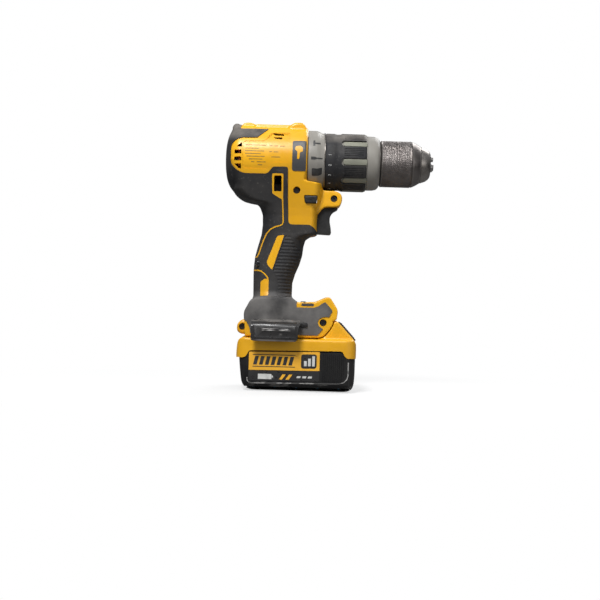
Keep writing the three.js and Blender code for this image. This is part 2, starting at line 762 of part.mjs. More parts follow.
// A slider on top with a stem down to the yoke.
function speedSelector() {
  const plate = box(-30, -16.4, -8, 8, 237.5, 239.9);
  const grips = [-28, -25, -22, -19].map((x) => box(x - 0.6, x + 0.6, -7, 7, 239, 240.7));
  return join(plate, ...grips, box(-26, -20.6, -3, 3, AXIS_Z + 26.8, 238));
}

function shiftYoke() {
  const rearArm = box(-26, -12.4, -3, 3, 25.3, 26.5);
  const drop = box(-14.4, -12.4, -3, 3, 21.4, 26.5);
  const frontArm = box(-14.4, 9, -3, 3, 21.4, 22.8);
  const pin = box(7, 9, -1.2, 1.2, RING_GEAR_R + GAP, 22);
  return join(rearArm, drop, frontArm, pin);
}

function switchBlock() {
  const body = box(-16, 5.6, -8.5, 8.5, 146, 166);
  return cut(body, box(-1, 7, -4.4, 4.4, 149.6, 158.4));
}

function controlBoard() {
  const board = box(-36, 18, -20, 20, 62, 63.6);
  const capacitors = [-8, 8].map((y) => box(-30, -18, y - 4, y + 4, 63, 70));
  return join(board, box(-10, 10, -12, 12, 63, 67), ...capacitors);
}

function terminalBlock() {
  const block = box(-44.6, -37, -14, 14, 50.6, 56.6);
  const blades = [-9, -3, 3, 9].map((y) => box(-38, -23, y - 0.45, y + 0.45, 51.4, 55.4));
  return join(block, ...blades);
}

function addControls(group) {
  addPart(group, "trigger", trigger(), blackPlastic);
  addPart(group, "trigger_switch", switchBlock(), blackPlastic);
  addPart(group, "direction_button", box(2.4, 14.2, -23, 23, 168.6, 175.5), blackPlastic);
  addPart(group, "speed_selector", speedSelector(), blackPlastic);
  addPart(group, "shift_yoke", shiftYoke(), toolSteel, [0, 0, AXIS_Z]);
  addPart(group, "control_board", controlBoard(), boardGreen);
  addPart(group, "work_light_lens", box(3.5, 14.5, -6, 6, 77, 80.2), clearPlastic);
  addPart(group, "terminal_block", terminalBlock(), blackPlastic);
}

// ---------------------------------------------------------------- belt hook

const HOOK = { x0: -41, x1: 2.2, thick: 1.8, screwX: -14, screwZ: 56.5 };

// An upside-down U in the front view: a leg on the foot, an arch and an outer plate.
function beltHook() {
  const t = HOOK.thick;
  const face = -FOOT_HALF_WIDTH - GAP;
  const section = [
    [face, 50.5], [face, 61, 3], [face - 3, 64.3, 3], [-46, 60.6, 4], [-48, 56, 3], [-48, 44.6],
    [-48 + t, 44.6], [-48 + t, 55.5, 2], [-45.2, 58.8, 3], [face - 3, 62.4, 2], [face - t, 60, 2],
    [face - t, 50.5],
  ];
  const band = prismAlongX(outline(section), HOOK.x0, HOOK.x1);
  const lug = box(HOOK.x1 - 1, 9, face - t, face, 58, 61);
  const hole = crossBar(HOOK.screwX, HOOK.screwZ, 2.3, -36, -30);
  const sideCorners = [[HOOK.x0 - 2, 60], [HOOK.x0 + 7, 60], [HOOK.x0 + 7, 66], [HOOK.x0 - 2, 66]];
  return cut(join(band, lug), hole, prism(sideCorners, -33.4, -20));
}

function hookScrewHole() {
  return crossBar(HOOK.screwX, HOOK.screwZ, 2.3, -40, -22);
}

function addBeltHook(group) {
  addPart(group, "belt_hook", beltHook(), darkSteel);
  const face = -FOOT_HALF_WIDTH - GAP - HOOK.thick - GAP;
  const head = crossBar(0, 0, 4, face - 1.6, face, 12);
  const thread = crossBar(0, 0, 1.9, face - 0.5, -24, 8);
  const socket = crossBar(0, 0, 1.7, face - 2, face - 0.6, 6);
  const place = [HOOK.screwX, 0, HOOK.screwZ];
  addPart(group, "belt_hook_screw", cut(join(head, thread), socket), darkSteel, place);
}

// ---------------------------------------------------------------- battery

const TUB_OUTLINE = [[-52, 34.2], [-48.6, 0, 6], [52, 0, 10], [52, 34.2]];
const SHELL_OUTLINE = [
  [-54, 27], [-54.2, 34, 2], [-53, BATTERY_TOP, 4], [50, BATTERY_TOP, 3], [52.6, 40, 2], [52.6, 27],
];
const NOSE_OUTLINE = [
  [14, 40], [17.6, 47.4, 3], [26, 49.9, 4], [31.7, 59.8], [31.7, 63.3], [35.4, 63.3],
  [51.6, 45.6, 2], [51.6, 40],
];
// Everything below this line is the black tub's, and everything above is the yellow shell's.
const CASE_SPLIT = [
  [-60, -5], [-60, 28.5], [-46, 28.5, 2], [-43, 34.4, 2], [42, 34.4, 2], [45, 28.5, 2],
  [60, 28.5], [60, -5],
];

// The slope at the front of the pack that carries the release button.
const SLOPE = { top: [35.4, 63.3], bottom: [51.6, 45.6] };
const SLOPE_TURN = Math.atan2(SLOPE.bottom[1] - SLOPE.top[1], SLOPE.bottom[0] - SLOPE.top[0]);

// A box laid on the slope: distances down the slope, across the pack, and out from the face.
function slopeBox(s0, s1, halfWidth, out0, out1) {
  const geometry = new THREE.BoxGeometry(s1 - s0, 2 * halfWidth, out1 - out0);
  geometry.translate((s0 + s1) / 2, 0, (out0 + out1) / 2);
  geometry.rotateY(-SLOPE_TURN);
  geometry.translate(SLOPE.top[0], 0, SLOPE.top[1]);
  return solid(geometry);
}

function batteryTub() {
  const outside = pillow(TUB_OUTLINE, BATTERY_HALF_WIDTH - 0.4, [5, 3]);
  const inside = box(-47.4, 48, -34, 34, CASE_WALL, 60);
  return common(cut(outside, inside), prism(CASE_SPLIT, -60, 60));
}

function batteryShell() {
  const outside = pillow(SHELL_OUTLINE, BATTERY_HALF_WIDTH, [5, 3]);
  const nose = pillow(NOSE_OUTLINE, 30, [4, 1.3]);
  const rail = join(
    box(-35.4, 24, -RAIL_NECK, RAIL_NECK, 44, RAIL_STEP + 1),
    box(-35.4, 24, -RAIL_HEAD, RAIL_HEAD, RAIL_STEP + GAP, RAIL_TOP),
  );
  const inside = box(-48.8, 49.6, -34.5, 34.5, 10, BATTERY_TOP - CASE_WALL);
  const bladeSlots = [-9, -3, 3, 9].map((y) => box(-37, -21, y - 1, y + 1, 50.6, 60));
  const lower = prism(CASE_SPLIT, -60, 60);
  const below = lower.translate(0, 0, GAP);
  const buttonWell = slopeBox(2, 24.2, 19.5, -4.4, 6);
  const noseHollow = prism([[22, 30], [22, 46], [32, 55], [40, 46], [46, 44], [46, 30]], -26, 26);
  return cut(join(outside, nose, rail), inside, below, buttonWell, ...bladeSlots, noseHollow);
}

function releaseButton() {
  const pad = slopeBox(2.4, 23.8, 19, -0.9, 1.6);
  const ribs = [6, 10, 14, 18].map((s) => slopeBox(s, s + 1.4, 15, 1, 2.3));
  return join(pad, ...ribs);
}

// Ten cells in two layers of five, lying across the pack, joined by their connecting strips.
function batteryCells() {
  const [pitch, radius, halfLength, lift] = [18.9, 9, 32, 12.2];
  const cells = [];
  for (const layer of [0, 1]) {
    for (let i = 0; i < 5; i += 1) {
      cells.push(crossBar((i - 2) * pitch, lift + layer * pitch, radius, -halfLength, halfLength, 8));
    }
  }
  const reach = 2 * pitch + 5;
  const strips = [-1, 1].map((sign) => {
    const [y0, y1] = [sign * halfLength, sign * (halfLength + 0.6)].sort((a, b) => a - b);
    return box(-reach, reach, y0 - 0.05, y1 + 0.05, lift - 4, lift + pitch + 4);
  });
  return join(...cells, ...strips);
}

function addBattery(group) {
  addPart(group, "battery_tub", batteryTub(), blackPlastic);
  addPart(group, "battery_shell", batteryShell(), yellowPlastic);
  addPart(group, "battery_cells", batteryCells(), cellWrap);
  addPart(group, "battery_board", box(-40, 20, -28, 28, 41.4, 43), boardGreen);
  addPart(group, "battery_release", releaseButton(), blackPlastic);
}

// ---------------------------------------------------------------- assembly

const drill = new THREE.Group();
const powertrain = new THREE.Group();
powertrain.position.set(0, 0, AXIS_Z);
drill.add(powertrain);
addHousing(drill);
addControls(drill);
addBeltHook(drill);
addBattery(drill);
addMotor(powertrain);
addGearbox(powertrain);
addFront(powertrain);
addChuck(powertrain);

export default drill;
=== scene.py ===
"""Looks of a cordless hammer drill driver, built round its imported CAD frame."""

import json
import math

import bmesh
import bpy
from mathutils import Matrix, Vector


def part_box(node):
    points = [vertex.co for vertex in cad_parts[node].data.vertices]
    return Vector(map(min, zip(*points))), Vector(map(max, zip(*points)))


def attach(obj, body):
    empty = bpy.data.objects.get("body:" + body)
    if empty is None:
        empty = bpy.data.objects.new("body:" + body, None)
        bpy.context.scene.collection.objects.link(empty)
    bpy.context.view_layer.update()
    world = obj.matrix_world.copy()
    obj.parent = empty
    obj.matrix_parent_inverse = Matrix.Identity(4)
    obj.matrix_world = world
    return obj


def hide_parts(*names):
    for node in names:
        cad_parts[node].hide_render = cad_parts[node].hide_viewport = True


bl_info = {
    "name": "Cordless Drill",
    "version": (1, 0, 0),
    "blender": (4, 5, 0),
    "location": "View3D > Sidebar > Drill",
    "description": "Builds the outside of a cordless drill round its frame",
    "category": "Add Mesh",
}

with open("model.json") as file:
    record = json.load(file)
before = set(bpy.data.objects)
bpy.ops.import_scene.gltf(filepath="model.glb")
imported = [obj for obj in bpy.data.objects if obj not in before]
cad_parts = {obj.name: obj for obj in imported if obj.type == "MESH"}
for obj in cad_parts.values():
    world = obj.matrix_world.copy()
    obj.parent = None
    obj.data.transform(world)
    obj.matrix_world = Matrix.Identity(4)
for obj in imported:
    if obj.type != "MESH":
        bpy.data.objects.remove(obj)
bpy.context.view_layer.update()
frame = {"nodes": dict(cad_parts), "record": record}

MM = 0.001
AXIS = sum(corner[2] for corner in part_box("chuck_sleeve")) / 2 / MM
SPLIT = 0.15
BODY = "drill_body"
FINISHES = {}


# ---------------------------------------------------------------- small modelling helpers

def deselect():
    if bpy.context.mode != "OBJECT":
        bpy.ops.object.mode_set(mode="OBJECT")
    bpy.ops.object.select_all(action="DESELECT")


def activate(piece):
    deselect()
    piece.select_set(True)
    bpy.context.view_layer.objects.active = piece


def edit(piece):
    """Opens a piece in edit mode with everything on it selected."""
    activate(piece)
    bpy.ops.object.mode_set(mode="EDIT")
    bpy.ops.mesh.select_all(action="SELECT")


def done():
    bpy.ops.object.mode_set(mode="OBJECT")


def mesh_piece(name, points, faces, edges=()):
    """A new mesh object from points in millimetres."""
    mesh = bpy.data.meshes.new(name)
    mesh.from_pydata([[value * MM for value in point] for point in points], edges, faces)
    piece = bpy.data.objects.new(name, mesh)
    bpy.context.collection.objects.link(piece)
    activate(piece)
    return piece


def duplicate(piece, name):
    twin = piece.copy()
    twin.data = piece.data.copy()
    twin.name = name
    twin.data.name = name
    bpy.context.collection.objects.link(twin)
    return twin


def remove(piece):
    bpy.data.objects.remove(piece, do_unlink=True)


def joined(pieces):
    """Several loose pieces as one object."""
    activate(pieces[0])
    for other in pieces[1:]:
        other.select_set(True)
    bpy.ops.object.join()
    return pieces[0]


def outward(piece, merge=1e-7):
    """Merges doubled points and turns every face outwards."""
    edit(piece)
    bpy.ops.mesh.remove_doubles(threshold=merge)
    bpy.ops.mesh.normals_make_consistent(inside=False)
    done()
    return piece


def modify(piece, kind, **settings):
    """Adds one modifier and applies it."""
    activate(piece)
    modifier = piece.modifiers.new(kind.title(), kind)
    for key, value in settings.items():
        setattr(modifier, key, value)
    bpy.ops.object.modifier_apply(modifier=modifier.name)
    return piece


def combine(piece, operation, *tools):
    """Cuts, joins or crosses a piece with tools, which are used up."""
    for tool in tools:
        modify(piece, "BOOLEAN", operation=operation, solver="MANIFOLD", object=tool)
        remove(tool)
    return piece


def cut(piece, *tools):
    return combine(piece, "DIFFERENCE", *tools)


def bevelled(piece, width, segments=2, angle=35):
    return modify(
        piece, "BEVEL", width=width * MM, segments=segments, limit_method="ANGLE",
        angle_limit=math.radians(angle), harden_normals=False,
    )


def mirrored(piece, name):
    """The same piece on the other side of the middle plane."""
    twin = duplicate(piece, name)
    edit(twin)
    bpy.ops.transform.mirror(constraint_axis=(False, True, False), center_override=(0, 0, 0))
    bpy.ops.mesh.flip_normals()
    done()
    return twin


def inflated(piece, name, amount):
    """A copy of a piece with its surface moved outwards."""
    twin = duplicate(piece, name)
    return modify(twin, "DISPLACE", strength=amount * MM, mid_level=0)


def around_axis(piece, count, name, first=0):
    """Copies of a piece at equal turns about the spindle, with the piece as the first one."""
    copies = [piece]
    for number in range(1, count):
        twin = duplicate(piece, f"{name}_{number + 1 + first}")
        turn_about_axis(twin, 2 * math.pi * number / count)
        copies.append(twin)
    return copies


def turn_about_axis(piece, angle):
    centre = Matrix.Translation((0, 0, AXIS * MM))
    piece.data.transform(centre @ Matrix.Rotation(angle, 4, "X") @ centre.inverted())


# ---------------------------------------------------------------- shapes

def rounded(points, steps=5):
    """Outline points [a, b, corner reach] with each corner that has a reach drawn as a curve."""
    curve = []
    count = len(points)
    for number, point in enumerate(points):
        corner = Vector(point[:2])
        reach = point[2] if len(point) > 2 else 0
        if not reach:
            curve.append(corner)
            continue
        ends = []
        for other in (points[number - 1], points[(number + 1) % count]):
            side = Vector(other[:2]) - corner
            ends.append(corner + side * min(0.49, reach / side.length))
        for step in range(steps + 1):
            t = step / steps
            curve.append(ends[0] * (1 - t) ** 2 + corner * 2 * t * (1 - t) + ends[1] * t * t)
    return curve


def extruded(name, curve, low, high, place):
    """A closed outline made into a slab; place turns (a, b, depth) into a point."""
    count = len(curve)
    points = [place(a, b, depth) for depth in (low, high) for a, b in curve]
    sides = [(i, (i + 1) % count, (i + 1) % count + count, i + count) for i in range(count)]
    ends = [tuple(reversed(range(count))), tuple(range(count, 2 * count))]
    return outward(mesh_piece(name, points, sides + ends))


def slab(name, points, y0, y1, steps=5):
    """A side-view outline in X and Z, between y0 and y1."""
    return extruded(name, rounded(points, steps), y0, y1, lambda x, z, y: (x, y, z))


def slab_x(name, points, x0, x1, steps=5):
    """A front-view outline in Y and Z, between x0 and x1."""
    return extruded(name, rounded(points, steps), x0, x1, lambda y, z, x: (x, y, z))


def block(name, x0, x1, y0, y1, z0, z1):
    return slab(name, [(x0, z0), (x1, z0), (x1, z1), (x0, z1)], y0, y1)


def lathe(name, profile, steps=96, closed=False, z=None):
    """A profile of (x, radius) spun about the spindle's axis."""
    centre = AXIS if z is None else z
    count = len(profile)
    edges = [(i, i + 1) for i in range(count - 1)]
    if closed:
        edges.append((count - 1, 0))
    piece = mesh_piece(name, [(x, 0, centre + r) for x, r in profile], [], edges)
    edit(piece)
    bpy.ops.mesh.spin(
        steps=steps, angle=2 * math.pi, center=(0, 0, centre * MM), axis=(1, 0, 0),
    )
    done()
    return outward(piece, 1e-6)


def pin(name, x, z, radius, y0, y1, sides=32):
    """A round bar across the drill."""
    deselect()
    bpy.ops.mesh.primitive_cylinder_add(
        vertices=sides, radius=radius * MM, depth=(y1 - y0) * MM,
        location=(x * MM, (y0 + y1) / 2 * MM, z * MM), rotation=(math.pi / 2, 0, 0),
    )
    piece = bpy.context.object
    piece.name = name
    bpy.ops.object.transform_apply(location=True, rotation=True, scale=True)
    return piece


def upright(name, points, z0, z1, steps=5):
    """A plan-view outline in X and Y, between z0 and z1."""
    return extruded(name, rounded(points, steps), z0, z1, lambda x, y, z: (x, y, z))


def band(name, path, width, y0, y1, closed=False):
    """A strip of even width that follows a side-view path."""
    count = len(path)
    points = []
    for number, point in enumerate(path):
        here = Vector(point)
        before = Vector(path[number - 1]) if closed or number else here
        after = Vector(path[(number + 1) % count]) if closed or number < count - 1 else here
        along = (after - before).normalized()
        across = Vector((-along.y, along.x)) * width / 2
        for edge in (here + across, here - across):
            points += [(edge.x, y0, edge.y), (edge.x, y1, edge.y)]
    faces = []
    for number in range(count if closed else count - 1):
        a = 4 * number
        b = 4 * ((number + 1) % count)
        faces += [(a, a + 1, b + 1, b), (a + 2, b + 2, b + 3, a + 3)]
        faces += [(a, b, b + 2, a + 2), (a + 1, a + 3, b + 3, b + 1)]
    if not closed:
        a = 4 * (count - 1)
        faces += [(0, 2, 3, 1), (a, a + 1, a + 3, a + 2)]
    return outward(mesh_piece(name, points, faces))


def skin(name, form, area, lift, thickness, shape=None):
    """The part of a form's surface inside an area, lifted off it and given a thickness."""
    piece = duplicate(form, name)
    for thing, finish in ((piece, "skin_face"), (area, "skin_cut")):
        thing.data.materials.clear()
        thing.data.materials.append(bpy.data.materials.get(finish) or bpy.data.materials.new(finish))
    modify(piece, "BOOLEAN", operation="INTERSECT", solver="MANIFOLD", object=area,
           material_mode="TRANSFER")
    remove(area)
    cut_index = piece.data.materials.find("skin_cut")
    mesh = bmesh.new()
    mesh.from_mesh(piece.data)
    walls = [face for face in mesh.faces if face.material_index == cut_index]
    bmesh.ops.delete(mesh, geom=walls, context="FACES")
    bmesh.ops.remove_doubles(mesh, verts=mesh.verts, dist=0.00012)
    mesh.normal_update()
    for point in mesh.verts:
        extra = shape(point.co) if shape else 0
        point.co += point.normal * (lift + thickness + extra) * MM
    mesh.to_mesh(piece.data)
    mesh.free()
    piece.data.materials.clear()
    modify(piece, "SOLIDIFY", thickness=thickness * MM, offset=-1, use_even_offset=False)
    return piece


def finish(piece, body, material, slot, *nodes, smooth=38):
    """Gives a finished piece its material, its body and the CAD nodes that it stands for."""
    activate(piece)
    piece.data.materials.clear()
    piece.data.materials.append(FINISHES[material])
    for face in piece.data.polygons:
        face.material_index = 0
    if smooth:
        bpy.ops.object.shade_smooth_by_angle(angle=math.radians(smooth))
    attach(piece, body)
    if nodes:
        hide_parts(*nodes)
    return piece


# ---------------------------------------------------------------- materials

class Finish:
    """Builds one node material; every pattern reads Object coordinates."""

    def __init__(self, name, colour, roughness, metallic=0.0):
        self.material = bpy.data.materials.new(f"drill_{name}")
        FINISHES[name] = self.material
        self.material.use_nodes = True
        self.tree = self.material.node_tree
        self.shader = self.tree.nodes["Principled BSDF"]
        self.shader.inputs["Metallic"].default_value = metallic
        self.coordinates = self.tree.nodes.new("ShaderNodeTexCoord").outputs["Object"]
        self.colour = None
        self.base = colour
        self.roughness = roughness
        self.normal = None

    def set(self, socket, value):
        self.shader.inputs[socket].default_value = value
        return self

    def mapped(self, scale):
        mapping = self.tree.nodes.new("ShaderNodeMapping")
        mapping.inputs["Scale"].default_value = scale
        self.tree.links.new(self.coordinates, mapping.inputs["Vector"])
        return mapping.outputs["Vector"]

    def noise(self, scale, detail=4.0, stretch=(1, 1, 1), distortion=0.0):
        node = self.tree.nodes.new("ShaderNodeTexNoise")
        node.inputs["Scale"].default_value = scale
        node.inputs["Detail"].default_value = detail
        node.inputs["Distortion"].default_value = distortion
        self.tree.links.new(self.mapped(stretch), node.inputs["Vector"])
        return node.outputs["Fac"]

    def cells(self, scale, stretch=(1, 1, 1)):
        node = self.tree.nodes.new("ShaderNodeTexVoronoi")
        node.inputs["Scale"].default_value = scale
        self.tree.links.new(self.mapped(stretch), node.inputs["Vector"])
        return node.outputs["Distance"]

    def spread(self, factor, low, high, to_low=0.0, to_high=1.0):
        node = self.tree.nodes.new("ShaderNodeMapRange")
        node.inputs["From Min"].default_value = low
        node.inputs["From Max"].default_value = high
        node.inputs["To Min"].default_value = to_low
        node.inputs["To Max"].default_value = to_high
        self.tree.links.new(factor, node.inputs["Value"])
        return node.outputs["Result"]

    def near(self, axis, centre, reach, edge=0.3):
        """1 within reach of a height or length given in millimetres, fading to 0 past it."""
        split = self.tree.nodes.new("ShaderNodeSeparateXYZ")
        self.tree.links.new(self.coordinates, split.inputs["Vector"])
        away = self.tree.nodes.new("ShaderNodeMath")
        away.operation = "SUBTRACT"
        away.inputs[1].default_value = centre * MM
        self.tree.links.new(split.outputs[axis], away.inputs[0])
        size = self.tree.nodes.new("ShaderNodeMath")
        size.operation = "ABSOLUTE"
        self.tree.links.new(away.outputs[0], size.inputs[0])
        return self.spread(size.outputs[0], reach * MM, reach * (1 + edge) * MM, 1.0, 0.0)

    def both(self, first, *others):
        """The product of several masks."""
        for other in others:
            node = self.tree.nodes.new("ShaderNodeMath")
            node.operation = "MULTIPLY"
            self.tree.links.new(first, node.inputs[0])
            self.tree.links.new(other, node.inputs[1])
            first = node.outputs[0]
        return first

    def tint(self, factor, colour):
        """Mixes a second colour in where the factor is high."""
        node = self.tree.nodes.new("ShaderNodeMix")
        node.data_type = "RGBA"
        self.tree.links.new(factor, node.inputs["Factor"])
        if self.colour is None:
            node.inputs["A"].default_value = (*self.base, 1)
        else:
            self.tree.links.new(self.colour, node.inputs["A"])
        node.inputs["B"].default_value = (*colour, 1)
        self.colour = node.outputs["Result"]
        return self

    def rough(self, factor, low, high):
        self.tree.links.new(self.spread(factor, 0.3, 0.7, low, high), self.shader.inputs["Roughness"])
        self.roughness = None
        return self

    def bump(self, height, strength, distance):
        node = self.tree.nodes.new("ShaderNodeBump")
        node.inputs["Strength"].default_value = strength
        node.inputs["Distance"].default_value = distance * MM
        self.tree.links.new(height, node.inputs["Height"])
        if self.normal is not None:
            self.tree.links.new(self.normal, node.inputs["Normal"])
        self.normal = node.outputs["Normal"]
        return self

    def edges(self, low, high, colour):
        """Tints the worn, outward edges of a finely meshed piece."""
        geometry = self.tree.nodes.new("ShaderNodeNewGeometry")
        return self.tint(self.spread(geometry.outputs["Pointiness"], low, high), colour)

    def build(self):
        if self.colour is None:
            self.shader.inputs["Base Color"].default_value = (*self.base, 1)
        else:
            self.tree.links.new(self.colour, self.shader.inputs["Base Color"])
        if self.roughness is not None:
            self.shader.inputs["Roughness"].default_value = self.roughness
        if self.normal is not None:
            self.tree.links.new(self.normal, self.shader.inputs["Normal"])
        self.material.diffuse_color = (*self.base, 1)
        return self.material


def moulded(name, colour, shade, roughness, grain=0.04, patches=30.0, specular=0.5):
    """Moulded plastic with a fine spark-eroded grain, uneven gloss and a little grime."""
    look = Finish(name, colour, roughness)
    large = look.noise(patches, 5.0)
    look.tint(look.spread(large, 0.42, 0.72, 0.0, 0.7), shade)
    look.rough(look.noise(180.0, 3.0), roughness - 0.07, roughness + 0.1)
    look.bump(look.noise(5200.0, 2.0), 0.35, grain)
    look.bump(look.noise(160.0, 3.0), 0.12, 0.25)
    look.set("Specular IOR Level", specular)
    return look


def turned_metal(name, colour, shade, roughness, lines=2600.0, stretch=(1, 0.02, 0.02)):
    """Turned metal: fine rings round the spindle, smears of oil and a darker patina."""
    look = Finish(name, colour, roughness, 1.0)
    look.tint(look.spread(look.noise(55.0, 6.0), 0.38, 0.66, 0.0, 0.8), shade)
    look.rough(look.noise(320.0, 4.0, distortion=0.6), roughness - 0.08, roughness + 0.14)
    look.bump(look.noise(lines, 2.0, stretch), 0.3, 0.03)
    look.bump(look.noise(900.0, 3.0), 0.12, 0.05)
    return look


def colour_setting(name, description, default):
    return bpy.props.FloatVectorProperty(
        name=name, description=description, size=3, subtype="COLOR", default=default, min=0, max=1,
    )


class DrillColours(bpy.types.PropertyGroup):
    """Colours that a user may change before building."""

    housing: colour_setting("Housing", "Colour of the moulded housing", (0.80, 0.405, 0.006))
    housing_shade: colour_setting(
        "Housing grime", "Duller tone of handled parts of the housing", (0.60, 0.285, 0.008),
    )
    rubber: colour_setting("Rubber", "Colour of the overmoulded rubber", (0.020, 0.020, 0.022))
    rubber_dust: colour_setting(
        "Rubber dust", "Tone of the dust that rubs into the rubber", (0.058, 0.054, 0.050),
    )
    collar: colour_setting("Collars", "Colour of the grey collars", (0.235, 0.222, 0.198))
    chuck: colour_setting("Chuck", "Colour of the chuck's steel", (0.19, 0.173, 0.165))


class DrillSizes(bpy.types.PropertyGroup):
    """Sizes that a user may change before building."""

    voxel: bpy.props.FloatProperty(
        name="Moulding detail", description="Grid size of the moulded surfaces",
        default=0.00075, min=0.0004, max=0.003, unit="LENGTH",
    )
    rubber_rise: bpy.props.FloatProperty(
        name="Rubber rise", description="How far the rubber stands above the housing",
        default=0.0007, min=0.0001, max=0.002, unit="LENGTH",
    )
    rib_pitch: bpy.props.FloatProperty(
        name="Rib pitch", description="Distance between the ribs on the handle",
        default=0.003, min=0.001, max=0.01, unit="LENGTH",
    )
    knurl_starts: bpy.props.IntProperty(
        name="Knurl", description="Diamonds round the chuck's sleeve", default=80, min=24, max=200,
    )
    camera_distance: bpy.props.FloatProperty(
        name="Camera distance", description="Distance from the camera to the drill's middle plane",
        default=1.0, min=0.2, max=5, unit="LENGTH",
    )


# name, colour, worn tone, roughness, grain depth in mm, patches per metre, gloss
PLASTICS = (
    ("black_plastic", (0.012, 0.012, 0.013), (0.030, 0.029, 0.028), 0.44, 0.05, 40.0, 0.35),
    ("badge_plastic", (0.050, 0.050, 0.054), (0.075, 0.073, 0.070), 0.42, 0.03, 60.0),
    ("inlay_plastic", (0.23, 0.23, 0.18), (0.15, 0.15, 0.12), 0.45, 0.03, 60.0),
    ("print_black", (0.022, 0.022, 0.022), (0.05, 0.05, 0.05), 0.5, 0.01, 200.0),
    ("print_grey", (0.20, 0.12, 0.03), (0.40, 0.22, 0.02), 0.5, 0.01, 300.0),
    ("print_white", (0.62, 0.62, 0.60), (0.42, 0.42, 0.41), 0.5, 0.01, 200.0),
    ("label_yellow", (0.86, 0.44, 0.035), (0.76, 0.38, 0.03), 0.34, 0.01, 60.0),
    ("label_dark", (0.022, 0.021, 0.022), (0.035, 0.034, 0.034), 0.32, 0.01, 60.0),
    ("board_green", (0.010, 0.075, 0.030), (0.02, 0.11, 0.05), 0.4, 0.02, 120.0),
    ("cell_sleeve", (0.030, 0.140, 0.230), (0.02, 0.10, 0.18), 0.35, 0.02, 60.0),
)
# name, colour, patina, roughness, machining lines per metre, how the lines stretch
METALS = (
    ("nose_steel", (0.30, 0.28, 0.26), (0.13, 0.115, 0.10), 0.30),
    ("jaw_steel", (0.42, 0.41, 0.40), (0.20, 0.19, 0.18), 0.32),
    ("gear_steel", (0.40, 0.39, 0.38), (0.24, 0.23, 0.22), 0.38),
    ("core_steel", (0.30, 0.30, 0.31), (0.20, 0.20, 0.21), 0.45, 3500.0),
    ("screw_steel", (0.10, 0.10, 0.105), (0.05, 0.05, 0.05), 0.38),
    ("cast_alloy", (0.52, 0.52, 0.53), (0.38, 0.38, 0.39), 0.50, 800.0, (1, 1, 1)),
    ("copper_wire", (0.62, 0.25, 0.12), (0.42, 0.15, 0.07), 0.34, 1400.0),
)


